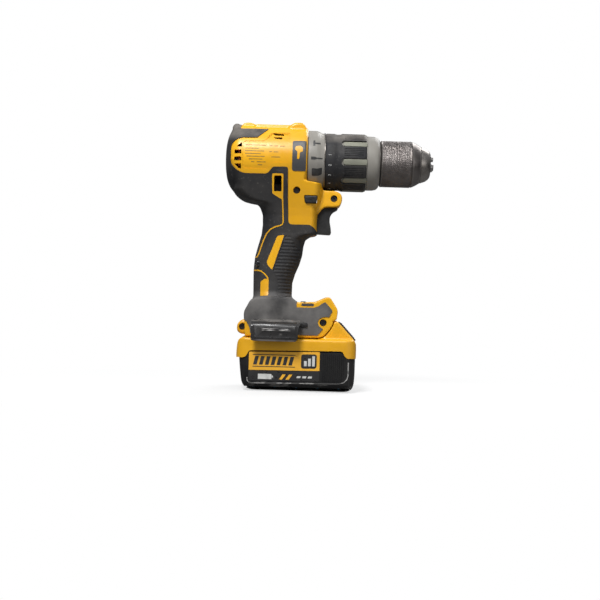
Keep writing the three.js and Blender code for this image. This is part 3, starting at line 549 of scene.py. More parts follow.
class DRILL_OT_materials(bpy.types.Operator):
    """Make the finishes and give them to the frame's own nodes"""

    bl_idname = "drill.materials"
    bl_label = "Finishes"

    def execute(self, context):
        colours = context.scene.drill_colours
        yellow = tuple(colours.housing)
        shade = tuple(colours.housing_shade)
        moulded("housing_plastic", yellow, shade, 0.36, 0.03, 22.0).build()
        moulded("battery_plastic", yellow, shade, 0.38, 0.03, 16.0).build()
        rubber = moulded("grip_rubber", tuple(colours.rubber), tuple(colours.rubber_dust), 0.60,
                         0.06, 34.0, 0.25)
        rubber.tint(rubber.spread(rubber.noise(420.0, 6.0), 0.60, 0.78, 0.0, 0.35), (0.16, 0.15, 0.14))
        # patchy mask shared by the real dust on the foot and the painted highlight on the top
        dust_and_top_highlight = rubber.spread(rubber.noise(46.0, 6.0), 0.24, 0.62)
        rubber.tint(rubber.both(dust_and_top_highlight, rubber.near("Z", 66, 15, 0.6)), (0.155, 0.148, 0.142))
        # painted highlight: the rubber along the top of the housing is lightened as if lit from above, in
        # patches
        rubber.tint(rubber.both(dust_and_top_highlight, rubber.near("Z", 236, 7, 0.9)), (0.16, 0.145, 0.13))
        rubber.build()
        tub = moulded("tub_plastic", (0.009, 0.009, 0.010), (0.024, 0.023, 0.022), 0.42, 0.05, 26.0, 0.3)
        # lighter streaks along the tub's lower edge: scuffs, together with a painted highlight where the
        # edge catches light
        tub.tint(tub.both(tub.spread(tub.noise(240.0, 6.0, (0.4, 1, 1)), 0.54, 0.64), tub.near("Z", 5, 3)),
                 (0.10, 0.097, 0.093)).build()
        # the rim's light grey, lightest in blotches, is a painted highlight along the lower edge of the
        # battery's label recess
        lip = moulded("rim_painted_highlight", (0.10, 0.098, 0.096), (0.06, 0.058, 0.056), 0.30, 0.02, 60.0)
        lip.tint(lip.spread(lip.noise(150.0, 6.0), 0.46, 0.58), (0.36, 0.35, 0.34)).build()
        moulded("collar_plastic", tuple(colours.collar), (0.17, 0.16, 0.145), 0.40, 0.03, 45.0).build()
        for row in PLASTICS:
            moulded(*row).build()
        for row in METALS:
            turned_metal(*row).build()
        chuck = turned_metal("chuck_steel", tuple(colours.chuck), (0.10, 0.085, 0.08), 0.36)
        chuck.edges(0.53, 0.60, (0.42, 0.39, 0.36))
        chuck.build()
        hook = moulded("hook_steel", (0.016, 0.015, 0.015), (0.040, 0.037, 0.034), 0.30, 0.03, 60.0)
        # bright streaks along the hook's crest: scuffs, with a painted highlight along the crest
        scuff_and_highlight = hook.spread(hook.noise(240.0, 6.0, (0.2, 1, 1)), 0.40, 0.50)
        hook.tint(hook.both(scuff_and_highlight, hook.near("X", -19, 10), hook.near("Z", 54.8, 0.9)), (0.62, 0.60, 0.58))
        # patchy mask for the dust and the painted highlight on the hook's arch top and lower lip
        hook_dust_and_highlight = hook.spread(hook.noise(90.0, 6.0), 0.36, 0.60)
        # the arch's top is lightened: dust, with a painted highlight where the light from above falls
        hook.tint(hook.both(hook_dust_and_highlight, hook.near("Z", 63.6, 1.6)), (0.17, 0.16, 0.15))
        # the lower lip is lightened: dust, with a painted highlight on its edge
        hook.tint(hook.both(hook_dust_and_highlight, hook.near("Z", 45.2, 0.9)), (0.13, 0.12, 0.115))
        hook.tint(hook.spread(hook.noise(300.0, 6.0, (0.3, 1, 1)), 0.64, 0.74), (0.20, 0.19, 0.18))
        hook.build()
        lens = Finish("lamp_lens", (0.80, 0.82, 0.84), 0.12)
        lens.bump(lens.cells(900.0), 0.3, 0.08)
        lens.set("Transmission Weight", 0.55).set("IOR", 1.46)
        lens.build()
        self.give_frame_nodes()
        return {"FINISHED"}

    def give_frame_nodes(self):
        """The nodes that stay in view inside the drill take their finish by their record's slot."""
        by_slot = {
            "core_steel": "core_steel", "copper_wire": "copper_wire", "bearing_steel": "gear_steel",
            "cast_alloy": "cast_alloy", "gear_steel": "gear_steel", "chuck_steel": "chuck_steel",
            "jaw_steel": "jaw_steel", "dark_screws": "screw_steel", "circuit_board": "board_green",
            "cell_wrap": "cell_sleeve", "control_plastic": "black_plastic",
        }
        for row in frame["record"]["subparts"]:
            finish_name = by_slot.get(row["material_slot"])
            node = frame["nodes"][row["node"]]
            if finish_name:
                for slot in node.material_slots:
                    slot.material = FINISHES[finish_name]


# ---------------------------------------------------------------- housing

REAR_EDGE = [
    (206, -69), (200, -68.4), (194.2, -66.4), (188, -64), (184.3, -62.9), (180.3, -62.6), (175.9, -59.5),
    (172.8, -55.8), (170.9, -52.3), (169.8, -47.5), (169.0, -41.8), (167.2, -38.6), (164.7, -36.8),
    (158.4, -34.5), (149.3, -34.2), (140.1, -35.1), (127.8, -38.4), (120.2, -40.3), (112.5, -41.1),
    (104.9, -41.4), (95, -41.2), (83.6, -41), (79, -42.7), (75, -45), (70, -47.6),
]
FRONT_EDGE = [
    (206, 3), (189, 3), (187, 20.2), (180, 20.2), (176, 19.8), (171, 18.9), (164.5, 16.2), (157, 15.5),
    (149, 15.4), (142, 15.8), (141.0, 14), (139.9, 8.6), (136.6, 4), (130.5, 2.3), (122.2, 1.4),
    (113.7, -1), (105.3, -4.5), (96.8, -6.9), (84.7, -7.1), (80.9, -5.4), (79, -2.3), (70, 5),
]
HALF_WIDTH = [
    (206, 30.5), (196, 28.8), (188, 26.6), (180, 24.4), (176, 23.2), (171, 21.8), (164.5, 20),
    (157, 18.6), (142, 17.2), (128, 16.8), (112, 16.8), (98, 17.2), (88, 18.6), (82, 21.5), (78, 25),
    (70, 28.4),
]
REAR_ROUND = [
    (206, 9.2), (187, 10), (180, 11), (171, 13), (157, 15), (142, 16), (104, 16), (84, 16), (70, 14),
]
FRONT_ROUND = [
    (206, 1), (190, 1), (187, 9), (171, 9), (157, 7), (142, 7), (139.5, 12), (130, 15), (104, 16),
    (84, 13), (70, 8),
]


def at_height(table, z):
    """A value from a falling table of (height, value), eased between its rows."""
    for (z1, v1), (z0, v0) in zip(table, table[1:]):
        if z >= z0:
            return v0 + (v1 - v0) * max(0.0, min(1.0, (z - z0) / (z1 - z0)))
    return table[-1][1]


def oval(z, points=56):
    """One level section of the handle."""
    rear, front = at_height(REAR_EDGE, z), at_height(FRONT_EDGE, z)
    half = at_height(HALF_WIDTH, z)
    rear_round, front_round = at_height(REAR_ROUND, z), at_height(FRONT_ROUND, z)
    ring = []
    for step in range(points // 2):
        turn = math.pi * (step / (points / 2 - 1) - 0.5)
        ring.append((front - front_round * (1 - math.cos(turn)), half * math.sin(turn), z))
    for step in range(points // 2):
        turn = math.pi * (step / (points / 2 - 1) + 0.5)
        ring.append((rear + rear_round * (1 + math.cos(turn)), half * math.sin(turn), z))
    return ring


def stacked(name, rings):
    """Level rings of equal count joined into a closed form."""
    count = len(rings[0])
    faces = [tuple(reversed(range(count)))]
    for level in range(len(rings) - 1):
        for i in range(count):
            j = (i + 1) % count
            a, b = level * count, (level + 1) * count
            faces.append((a + i, a + j, b + j, b + i))
    top = (len(rings) - 1) * count
    faces.append(tuple(range(top, top + count)))
    return outward(mesh_piece(name, [point for ring in rings for point in ring], faces), 1e-6)


def barrel_profile():
    profile = [(-69.4, 0)]
    for step in range(1, 13):
        turn = math.pi / 2 * (1 - step / 12)
        profile.append((-56 - 13.4 * math.sin(turn), 31 * max(0.02, math.cos(turn)) ** 0.7))
    return profile + [(2.6, 31), (4.2, 29.6), (4.2, 0)]


FOOT = [
    (-41.5, 82, 6), (-45.4, 74.2, 3), (-48, 69.4, 3), (-47.4, 62.8, 2), (-47.2, 48, 1), (17.4, 48, 4),
    (22.5, 49, 3), (27.2, 54, 3), (31.1, 60.2, 2), (31.3, 64), (34.4, 64.6, 0.5), (35.5, 73.4, 3),
    (28.4, 84.3, 2), (25.9, 85, 2), (15.4, 80.1, 2), (-2, 79.4), (-8, 84, 5),
]
CHIN = [(8, 181.4), (30.5, 181.4, 3), (35.6, 179, 4), (37.2, 174.5, 4), (35.6, 167.6, 4), (30, 166.3, 3),
        (20.5, 166.3, 3), (15.5, 160), (6, 160)]
REAR_TAB = [(-44, 61.4), (-50.5, 62.8, 2), (-55.3, 58.6, 3), (-55.3, 51.4, 3), (-51, 49.1, 2), (-44, 49.1)]


def drill_form(voxel):
    """The whole outside of the drill as one closed, softly blended form."""
    heights = sorted({z for z, _ in REAR_EDGE} | {z for z, _ in FRONT_EDGE} | set(range(70, 206, 2)))
    handle = stacked("handle_form", [oval(z) for z in heights])
    barrel = lathe("barrel_form", barrel_profile(), 120)
    foot = bevelled(slab("foot_form", FOOT, -31, 31), 4.5, 4)
    chin = bevelled(slab("chin_form", CHIN, -13, 13), 2.4, 3)
    tab = bevelled(slab("tab_form", REAR_TAB, -12, 12), 2, 3)
    rear_pad = bevelled(slab("rear_pad", [(-57, 232), (-56, 239.6, 2), (-53, 241.6, 3), (-47, 241.6, 3),
                                          (-41, 238.4, 3), (-38, 232)], -9, 9), 1.6, 3)
    front_pad = bevelled(slab("front_pad", [(-15, 232), (-13, 239, 3), (-8, 242, 2), (-0.6, 242, 2),
                                            (2.6, 238, 2), (4.2, 232)], -15, 15), 2, 3)
    bumper = bevelled(slab("bumper", [(-67, 226), (-64.6, 234.6, 3), (-61, 239.3, 3), (-56.6, 239.3, 2),
                                      (-54, 226)], -8, 8), 2.4, 3)
    rail = slab("top_rail", [(-46, 230), (-44, 239.9, 2), (-8, 239.9, 2), (-6, 230)], -12.4, 12.4)
    bevelled(rail, 1.2, 2)
    boss = bevelled(pin("bumper_boss", -60.4, 236.0, 3.5, -10.5, 10.5), 0.8, 2)
    form = joined([barrel, handle, foot, chin, tab, rear_pad, front_pad, bumper, rail, boss])
    form.name = "drill_form"
    modify(form, "REMESH", mode="VOXEL", voxel_size=voxel, use_smooth_shade=True)
    modify(form, "SMOOTH", factor=0.5, iterations=5)
    return form


SIDE_PANEL = [
    (-80, 252), (-56.4, 252), (-56.6, 234), (-31.4, 234.2, 0.4), (-41.2, 225.4, 1.5), (-57.4, 225, 5),
    (-64.2, 218.8, 4), (-64.2, 201.4, 4), (-58.6, 196, 4), (-53, 193.3, 4), (-31.2, 193.4, 2.5),
    (-26.4, 199.6, 2), (-13.0, 199.8, 2), (-12.4, 175, 1), (-11.3, 149.3, 4), (8.4, 149.6, 3),
    (12.6, 145.8, 2), (16.2, 139.4), (30, 120), (6, 79.3), (-1.7, 79.8), (-1.7, 74.9), (13.8, 75.0, 1),
    (17.4, 76.2, 1), (23.6, 80.4, 1), (30.6, 72.8, 1), (27.6, 66.8, 1), (23.4, 67.4, 2), (18.6, 65.4, 2),
    (17.4, 61.6, 2), (19.4, 58, 1.5), (22.6, 56.4, 1), (17.6, 50.4, 1), (-42, 50.4, 2), (-43.2, 57, 2),
    (-46.8, 62.6, 2), (-80, 66),
]
UPPER_INLAY = [(-20.8, 139, 2.5), (-14.7, 139.6, 0.6), (-24.7, 108, 0.4), (-30, 113.8, 2.5)]
LOWER_INLAY = [(-34.4, 97, 0.6), (-30.6, 100, 1), (-27.4, 99, 1), (-27.2, 84.2, 2), (-34.2, 84, 0.6)]
WINDOW_FRAME = [(-27.0, 193.8, 1.6), (-16.8, 194, 1.6), (-16.6, 171), (-18.0, 171.6), (-26.4, 176.4, 1)]
UPPER_LINE = [
    (-17.2, 174), (-16.4, 160), (-16.0, 151.6), (-16.6, 149.4), (-18.6, 148.0), (-22.8, 146.9),
    (-26.8, 144.7), (-30.2, 140.6), (-32.6, 135), (-35.2, 127.4), (-37.0, 121.6), (-38.4, 119.4),
    (-41.6, 119.1), (-50, 119),
]
LOWER_LINE = [
    (-50, 107.2), (-40.9, 107.2), (-37.4, 107.4), (-34.4, 106.6), (-31.0, 104.2), (-28.5, 101), (-27.8, 98),
]
LABEL_PANEL = [
    (-13.4, 203.4, 1), (-13.4, 229.6, 1), (-27.6, 229.8, 1.5), (-34.6, 222.6, 2), (-53.4, 222, 2.4),
    (-53.4, 197.6, 3), (-31.8, 197.2, 2), (-27, 203.2, 1.5),
]
VENT_LINE = [(-33.4, 223.6), (-28.6, 230.4), (-12.4, 231.0), (-12.2, 225.2), (-13.4, 225.2)]
# height, start and length of each printed rule
PANEL_RULES = [
    (218.4, -51.5, 19), (218.2, -30, 3), (218.1, -25.6, 3), (218, -20.4, 4), (215.4, -51.5, 12),
    (213, -51.5, 17), (212.8, -30, 2.4), (212.6, -26, 4), (210.6, -51.5, 14), (208.2, -50, 16),
    (208, -28, 8), (205.8, -48, 12),
    (203.4, -46, 3), (203.4, -41, 8), (200.8, -40, 4),
]
BADGE = [(-9.4, 196.4, 2.2), (2.8, 196.4, 1), (2.8, 223.2, 1), (-9.4, 223.2, 2.2)]
HAMMER = [
    (-7.0, 216.8, 1), (-6.2, 218.4, 1), (-1.8, 218.6, 1), (-0.2, 217, 1), (-0.2, 213.4, 0.6),
    (-2.4, 213.0, 0.4), (-2.8, 211.4), (-3.1, 206.8, 0.8), (-5.2, 206.8, 0.8), (-5.0, 211.6),
    (-5.2, 213.8, 0.5), (-7.0, 214.6, 0.8),
]
LAMP_SLOT = [(2.6, 76.2, 0.9), (13.6, 76.4, 0.9), (13.6, 78.7, 0.9), (2.6, 78.6, 0.9)]
RIB_EDGE = [(-14.3, 139.6), (-24.2, 107.8), (-20.1, 101.0), (-19.1, 85.6), (-16.7, 83.3)]
RIB_AREA = RIB_EDGE + [(30, 83), (30, 122), (0.3, 126.6), (-4.1, 129.3), (-9.2, 138.8)]
WINDOW = [(-25.2, 192.2, 1.4), (-18.4, 192.3, 1.4), (-18.1, 178.2, 1), (-25, 178.2, 1)]
REAR_VENTS = [
    [(-59.4, 216.6, 0.8), (-55.4, 220.4, 1), (-54.4, 220.4, 0.6), (-54.4, 216.4, 0.6)],
    [(-61, 213.8, 0.8), (-54.8, 213.9, 0.6), (-54.8, 210.3, 0.6), (-61, 210.2, 0.8)],
    [(-61, 207.6, 0.8), (-54.8, 207.7, 0.6), (-54.8, 204.1, 0.6), (-61, 204, 0.8)],
    [(-61, 201.4, 0.6), (-54.8, 201.5, 0.6), (-54.8, 197, 0.8), (-57, 197.4, 1)],
]
UPPER_VENTS = [
    [(-27.6, 230.2, 0.5), (-17.2, 229.8, 0.5), (-17.2, 228, 0.5), (-25.4, 228.2, 0.5)],
    [(-26.6, 226.6, 0.5), (-18.8, 226.4, 0.5), (-18.8, 224.6, 0.5), (-25, 224.8, 0.5)],
]


def inside(outline, x, z):
    """Whether a side-view point lies within an outline."""
    within = False
    for (x1, z1), (x0, z0) in zip(outline, outline[-1:] + outline[:-1]):
        if (z1 > z) != (z0 > z) and x < (x0 - x1) * (z - z1) / (z0 - z1) + x1:
            within = not within
    return within


def screw_pockets():
    """Place, x, z and depth below the middle plane of each housing screw's head."""
    return [
        ("chin", 29.3, 174.1, 11.2), ("side", -4.6, 179.8, 21.2), ("foot", 22.4, 61.9, 28.6),
        ("tab", -50.3, 56.0, 10.2),
    ]


def housing_cutters():
    """Everything that is hollow or open in the right housing."""
    bay = lathe("motor_bay", [(-64, 0), (-64, 15), (-58, 27.3), (10, 27.3), (10, 0)], 64)
    neck = slab("neck_bay", [(-52, 200), (-52, 182), (-30, 164), (12, 164), (12, 200)], -17, 17)
    handle_section = [
        (-29, 170), (-36, 106), (-36, 72), (-12, 72), (-9, 106), (-1, 136), (12, 142), (12, 170),
    ]
    handle = slab("handle_bay", handle_section, -13, 13)
    collar_section = [(3.9, 0), (3.9, 28.9), (20.4, 28.9), (20.4, 26.9), (80, 26.9), (80, 0)]
    collar_room = lathe("collar_room", collar_section, 96)
    channel = slab_x("battery_channel", [(-19.6, 30), (19.6, 30), (19.6, 50.2), (23.6, 50.2), (23.6, 57),
                                         (-23.6, 57), (-23.6, 50.2), (-19.6, 50.2)], -45, 45)
    trigger_way = slab("trigger_way", [(6.6, 141.2), (30, 141.2), (30, 166.4), (6.6, 166.4)], -8.9, 8.9)
    button_outline = [(2.0, 175.8, 1.6), (14.6, 175.8, 1.6), (13.6, 168.4, 1.6), (3.0, 168.4, 1.6)]
    button_way = slab("button_way", button_outline, -40, 0)
    selector = block("selector_pocket", -30.6, -9.2, -8.4, 8.4, 237.4, 250)
    stem = block("selector_slot", -26.6, -13.4, -3.4, 3.4, 225, 245)
    lens = block("lens_pocket", 3.1, 14.9, -6.3, 6.3, 76.6, 90)
    hook_hole = pin("hook_hole", -14, 56.5, 2.3, -40, -22)
    window = slab("vent_window", WINDOW, -40, -8)
    cutters = [
        bay, neck, handle, collar_room, channel, trigger_way, button_way, selector, stem, lens, hook_hole,
        window,
    ]
    for number, slot in enumerate(REAR_VENTS + UPPER_VENTS):
        cutters.append(slab(f"vent_{number}", slot, -40, -8))
    for place, x, z, head in screw_pockets():
        cutters.append(pin(f"pocket_{place}", x, z, 3.2, -40, -head + 2.7))
        cutters.append(pin(f"thread_{place}", x, z, 1.9, -head, 0))
    finger_mark = [(4.6, 170, 1), (11.2, 170, 1), (8.6, 162.8, 1), (6.2, 162.8, 1)]
    cutters.append(slab("button_recess", finger_mark, -40, -21.4))
    return cutters


SHELL_NODES = {"right_shell": "housing", "right_rubber": "overmould", "right_badge": "badge"}


class DRILL_OT_housing(bpy.types.Operator):
    """Mould the housing, its rubber, badges and trim lines"""

    bl_idname = "drill.housing"
    bl_label = "Housing"

    def execute(self, context):
        sizes = context.scene.drill_sizes
        form = drill_form(sizes.voxel)
        rise = sizes.rubber_rise / MM
        pitch = sizes.rib_pitch / MM
        half = block("right_half", -90, 60, -60, -SPLIT, 40, 260)
        lines = [
            slab("upper_inlay", UPPER_INLAY, -60, 0), slab("lower_inlay", LOWER_INLAY, -60, 0),
            slab("window_frame", WINDOW_FRAME, -60, 0), band("upper_line", UPPER_LINE, 1.1, -60, 0),
            band("lower_line", LOWER_LINE, 1.1, -60, 0), pin("handle_screw_way", -37.4, 113.2, 2.5, -60, 0),
        ]
        seam = [duplicate(line, f"{line.name}_trim") for line in lines[:5]]
        area = cut(slab("rubber_area", SIDE_PANEL, -60, -SPLIT, 7), *lines)
        cut(area, slab("window_way", [corner[:2] for corner in WINDOW], -61, 0),
            pin("hook_way", -14, 56.5, 2.3, -61, -22), block("trigger_gap", 5, 30, -9.2, 1, 140, 166))

        def ribs(point):
            x, y, z = (value / MM for value in point)
            if not inside(RIB_AREA, x, z):
                return 0.0
            wave = 0.5 + 0.5 * math.cos(2 * math.pi * z / pitch)
            fade = max(0.0, min(1.0, (abs(y) - 5) / 5))
            return -0.65 * wave ** 2 * fade - 0.02

        rubber = skin("right_rubber", form, area, 0.03, rise, ribs)
        trim = combine(seam[0], "UNION", *seam[1:])
        cut(trim, slab("window_gap", WINDOW, -61, 1))
        trim = skin("right_trim", form, trim, 0.03, rise + 0.12)
        rim_path = band("rim", RIB_EDGE + [(-7.6, 84.4)], 0.8, -60, -5)
        rim = skin("right_grip_rim", form, rim_path, rise - 0.1, 0.4)
        badge = skin("right_badge", form, slab("badge_area", BADGE, -60, -5), 0.03, 0.35)
        hammer = skin("right_badge_hammer", form, slab("hammer_area", HAMMER, -60, -5), 0.39, 0.25)

        slot = skin("right_lamp_slot", form, slab("slot_area", LAMP_SLOT, -60, -5), 0.02, 0.25)
        shell = duplicate(form, "right_shell")
        combine(shell, "INTERSECT", half)
        recess = slab("label_recess", LABEL_PANEL, -60, -5)
        combine(recess, "UNION", band("vent_line", VENT_LINE, 0.5, -60, -5))
        cut(recess, inflated(form, "recess_floor", -0.4))
        panel_form = inflated(form, "panel_form", -0.4)
        lines = []
        for z, x, run in PANEL_RULES:
            corners = [(x, z + 0.3), (x + run, z + 0.35), (x + run, z - 0.3), (x, z - 0.35)]
            lines.append(slab("rule", corners, -60, -5))
        rules = skin("right_panel_rules", panel_form, joined(lines), 0.02, 0.06)
        remove(panel_form)
        cut(shell, recess, *housing_cutters())
        remove(form)
        self.baffle()

        for piece, finish_name, slot in (
            (shell, "housing_plastic", "housing_yellow"), (rubber, "grip_rubber", "overmould_rubber"),
            (trim, "housing_plastic", "housing_yellow"), (badge, "badge_plastic", "badge_plastic"),
            (hammer, "housing_plastic", "housing_yellow"), (rim, "grip_rubber", "overmould_rubber"),
            (rules, "print_grey", "housing_yellow"), (slot, "badge_plastic", "control_plastic"),
        ):
            node = SHELL_NODES.get(piece.name)
            left = mirrored(piece, piece.name.replace("right", "left"))
            finish(piece, BODY, finish_name, slot, *([f"{node}_right"] if node else []))
            finish(left, BODY, finish_name, slot, *([f"{node}_left"] if node else []))
        return {"FINISHED"}

    def baffle(self):
        """The dark inner walls seen through the vent windows."""
        baffle = block("window_baffle", -28, -15, -15, 15, 171, 182.4)
        walls = [block("baffle_wall", -28, -15, y - 1.5, y + 1.5, 171, 185.4) for y in (-13.5, 13.5)]
        combine(baffle, "UNION", block("baffle_rib", -23.6, -21.6, -17, 17, 172, 180), *walls)
        finish(baffle, BODY, "black_plastic", "control_plastic")


def star_socket(name, x, z, radius, y0, y1):
    """A six-lobed socket."""
    points = []
    for step in range(36):
        turn = 2 * math.pi * step / 36
        size = radius * (0.86 + 0.14 * math.cos(6 * turn))
        points.append((x + size * math.cos(turn), z + size * math.sin(turn)))
    return slab(name, points, y0, y1)


def screw(name, x, z, head, depth, radius=3.0, height=2.4):
    """A pan-head screw with a star socket, seen from the right side."""
    top = bevelled(pin(name, x, z, radius, -head, -head + height, 40), 0.5, 3, 60)
    combine(top, "UNION", pin("shank", x, z, 1.6, -head + height - 0.2, depth))
    return cut(top, star_socket("socket", x, z, radius * 0.55, -head - 1, -head + 1.5))


class DRILL_OT_screws(bpy.types.Operator):
    """Set the housing screws and the belt hook's screw"""

    bl_idname = "drill.screws"
    bl_label = "Screws"

    def execute(self, context):
        for place, x, z, head in screw_pockets():
            piece = screw(f"screw_{place}", x, z, head, head - 3)
            finish(piece, BODY, "screw_steel", "dark_screws", f"housing_screw_{place}")
        low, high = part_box("belt_hook_screw")
        x, z = (low[0] + high[0]) / 2 / MM, (low[2] + high[2]) / 2 / MM
        hook = screw("hook_screw", x, z, -low[1] / MM, high[1] / MM, 4.0, 1.6)
        finish(hook, BODY, "screw_steel", "dark_screws", "belt_hook_screw")
        small = screw("screw_handle", -37.4, 113.2, 13.6, -9, 2.4, 1.6)
        finish(small, BODY, "screw_steel", "dark_screws")
        return {"FINISHED"}


# ---------------------------------------------------------------- controls

TRIGGER = [
    (13.6, 142.4), (26.4, 141.9, 1.2), (27.7, 142.6, 1), (27.2, 148, 2.5), (26.0, 153, 3),
    (26.3, 158.4, 2.5), (28.6, 162.4, 1.8), (33.0, 165, 0.8), (33.4, 165.9, 0.5), (13.6, 165.9),
]


class DRILL_OT_controls(bpy.types.Operator):
    """Make the trigger, the direction button, the speed selector and the work light"""

    bl_idname = "drill.controls"
    bl_label = "Controls"

    def execute(self, context):
        trigger = bevelled(slab("trigger_pad", TRIGGER, -8.5, 8.5, 8), 2.2, 4, 50)
        combine(trigger, "UNION", block("trigger_plunger", 6, 14.5, -4, 4, 150, 158))
        finish(trigger, "trigger", "black_plastic", "control_plastic", "trigger")

        outline = [(2.4, 175.4, 1.6), (14.2, 175.4, 1.6), (13.4, 168.7, 1.6), (3.2, 168.7, 1.6)]
        button = bevelled(slab("direction_bar", outline, -23, 23, 6), 0.9, 3, 60)
        arrow = [
            (4.6, 171.7), (9.4, 171.7), (9.4, 170.4), (12.4, 172.1), (9.4, 173.8), (9.4, 172.5),
            (4.6, 172.5),
        ]
        for y0 in (-24, 22.6):
            cut(button, slab("arrow", arrow, y0, y0 + 1.4))
        finish(button, "direction_button", "black_plastic", "control_plastic", "direction_button")

        plate = bevelled(block("selector_plate", -30, -16.4, -8, 8, 237.6, 238.8), 0.4, 2)
        ribs = []
        for x in (-28, -25.4, -22.8, -20.2):
            section = [(x - 0.9, 238.4), (x - 0.4, 239.6, 0.3), (x + 0.4, 239.6, 0.3), (x + 0.9, 238.4)]
            ribs.append(bevelled(slab(f"rib_{x}", section, -6.5, 6.5), 0.25, 2))
        stem = block("selector_stem", -26, -20.6, -3, 3, AXIS + 26.8, 238)
        combine(plate, "UNION", *ribs, stem)
        finish(plate, "speed_selector", "black_plastic", "control_plastic", "speed_selector")

        low, high = ([value / MM for value in corner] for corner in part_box("work_light_lens"))
        lens = block("work_light", low[0], high[0], low[1], high[1], low[2], high[2] - 0.4)
        bevelled(lens, 1.2, 4)
        finish(lens, BODY, "lamp_lens", "lamp_lens", "work_light_lens")
        return {"FINISHED"}


class DRILL_OT_belt_hook(bpy.types.Operator):
    """Bend the belt hook"""

    bl_idname = "drill.belt_hook"
    bl_label = "Belt hook"

    def execute(self, context):
        thick = 1.8
        face = -31.3
        section = [
            (face, 50.5), (face, 61, 3), (face - 3, 64.3, 3), (-46, 60.9, 4), (-48, 56, 3),
            (-47.6, 46, 1.5), (-46.4, 44.6, 0.8), (-45.4, 45.2, 0.6), (-46.2, 47.4, 1),
            (-48 + thick, 55.5, 2), (-45.2, 58.8, 3), (face - 3, 62.4, 2), (face - thick, 60, 2),
            (face - thick, 50.5),
        ]
        hook = slab_x("hook_strip", section, -41, 2.2, 6)
        plate = [(-41.2, 70), (-41.2, 44.4, 3.6), (-0.2, 44.4, 3.6), (0.6, 56), (2.2, 60.5), (2.2, 70)]
        combine(hook, "INTERSECT", slab("hook_outline", plate, -60, -20, 8))
        top = slab("hook_relief", [(-42, 60), (-34, 60, 2), (-34, 70), (-42, 70)], -33.4, -20)
        rim = [(-41, 44.8, 3.4), (-0.4, 44.8, 3.4), (0.4, 58.4, 2), (-40.8, 58.4, 2)]
        combine(hook, "UNION", slab("hook_rim", rim, -48.9, -46.8))
        hollow = [(-38.4, 48.4, 2.6), (-2.8, 48.4, 2.6), (-2.2, 60.4, 2), (-38.6, 60.4, 2)]
        dish = slab("hook_dish", hollow, -60, -47.2)
        cut(hook, top, dish, pin("hook_bore", -14, 56.5, 2.3, -36, -30))
        ridge = [(-30, 53.8, 1), (-8, 54.2, 1), (-8, 56, 1), (-30, 55.6, 1)]
        combine(hook, "UNION", bevelled(slab("hook_crest", ridge, -47.9, -46.6), 0.5, 2))
        combine(hook, "UNION", bevelled(block("hook_lug", 1, 8.6, face - thick, face, 57.6, 61.4), 0.5, 2))
        bevelled(hook, 0.3, 2, 50)
        finish(hook, BODY, "hook_steel", "hook_steel", "belt_hook")
        return {"FINISHED"}


# ---------------------------------------------------------------- collars and chuck

# a hammer, a drill bit and a screwdriver's blade
MODE_SYMBOLS = (
    [(9.0, 224.6, 0.4), (10.8, 225, 0.4), (10.8, 222.9), (15.6, 222.5, 0.3), (15.6, 221.3, 0.3),
     (10.8, 221.3), (10.8, 219.8, 0.4), (9.0, 219.6, 0.4)],
    [(7.4, 209.6), (11, 209.6), (12, 209), (17, 208.8), (18, 208.3), (17, 207.8), (12, 207.6), (11, 207),
     (7.4, 207)],
    [(8.2, 199.6, 1), (13, 199.2, 1), (17.6, 200.6, 1), (17.4, 195, 1), (14, 193.2, 1), (8.4, 193.0, 1)],
)


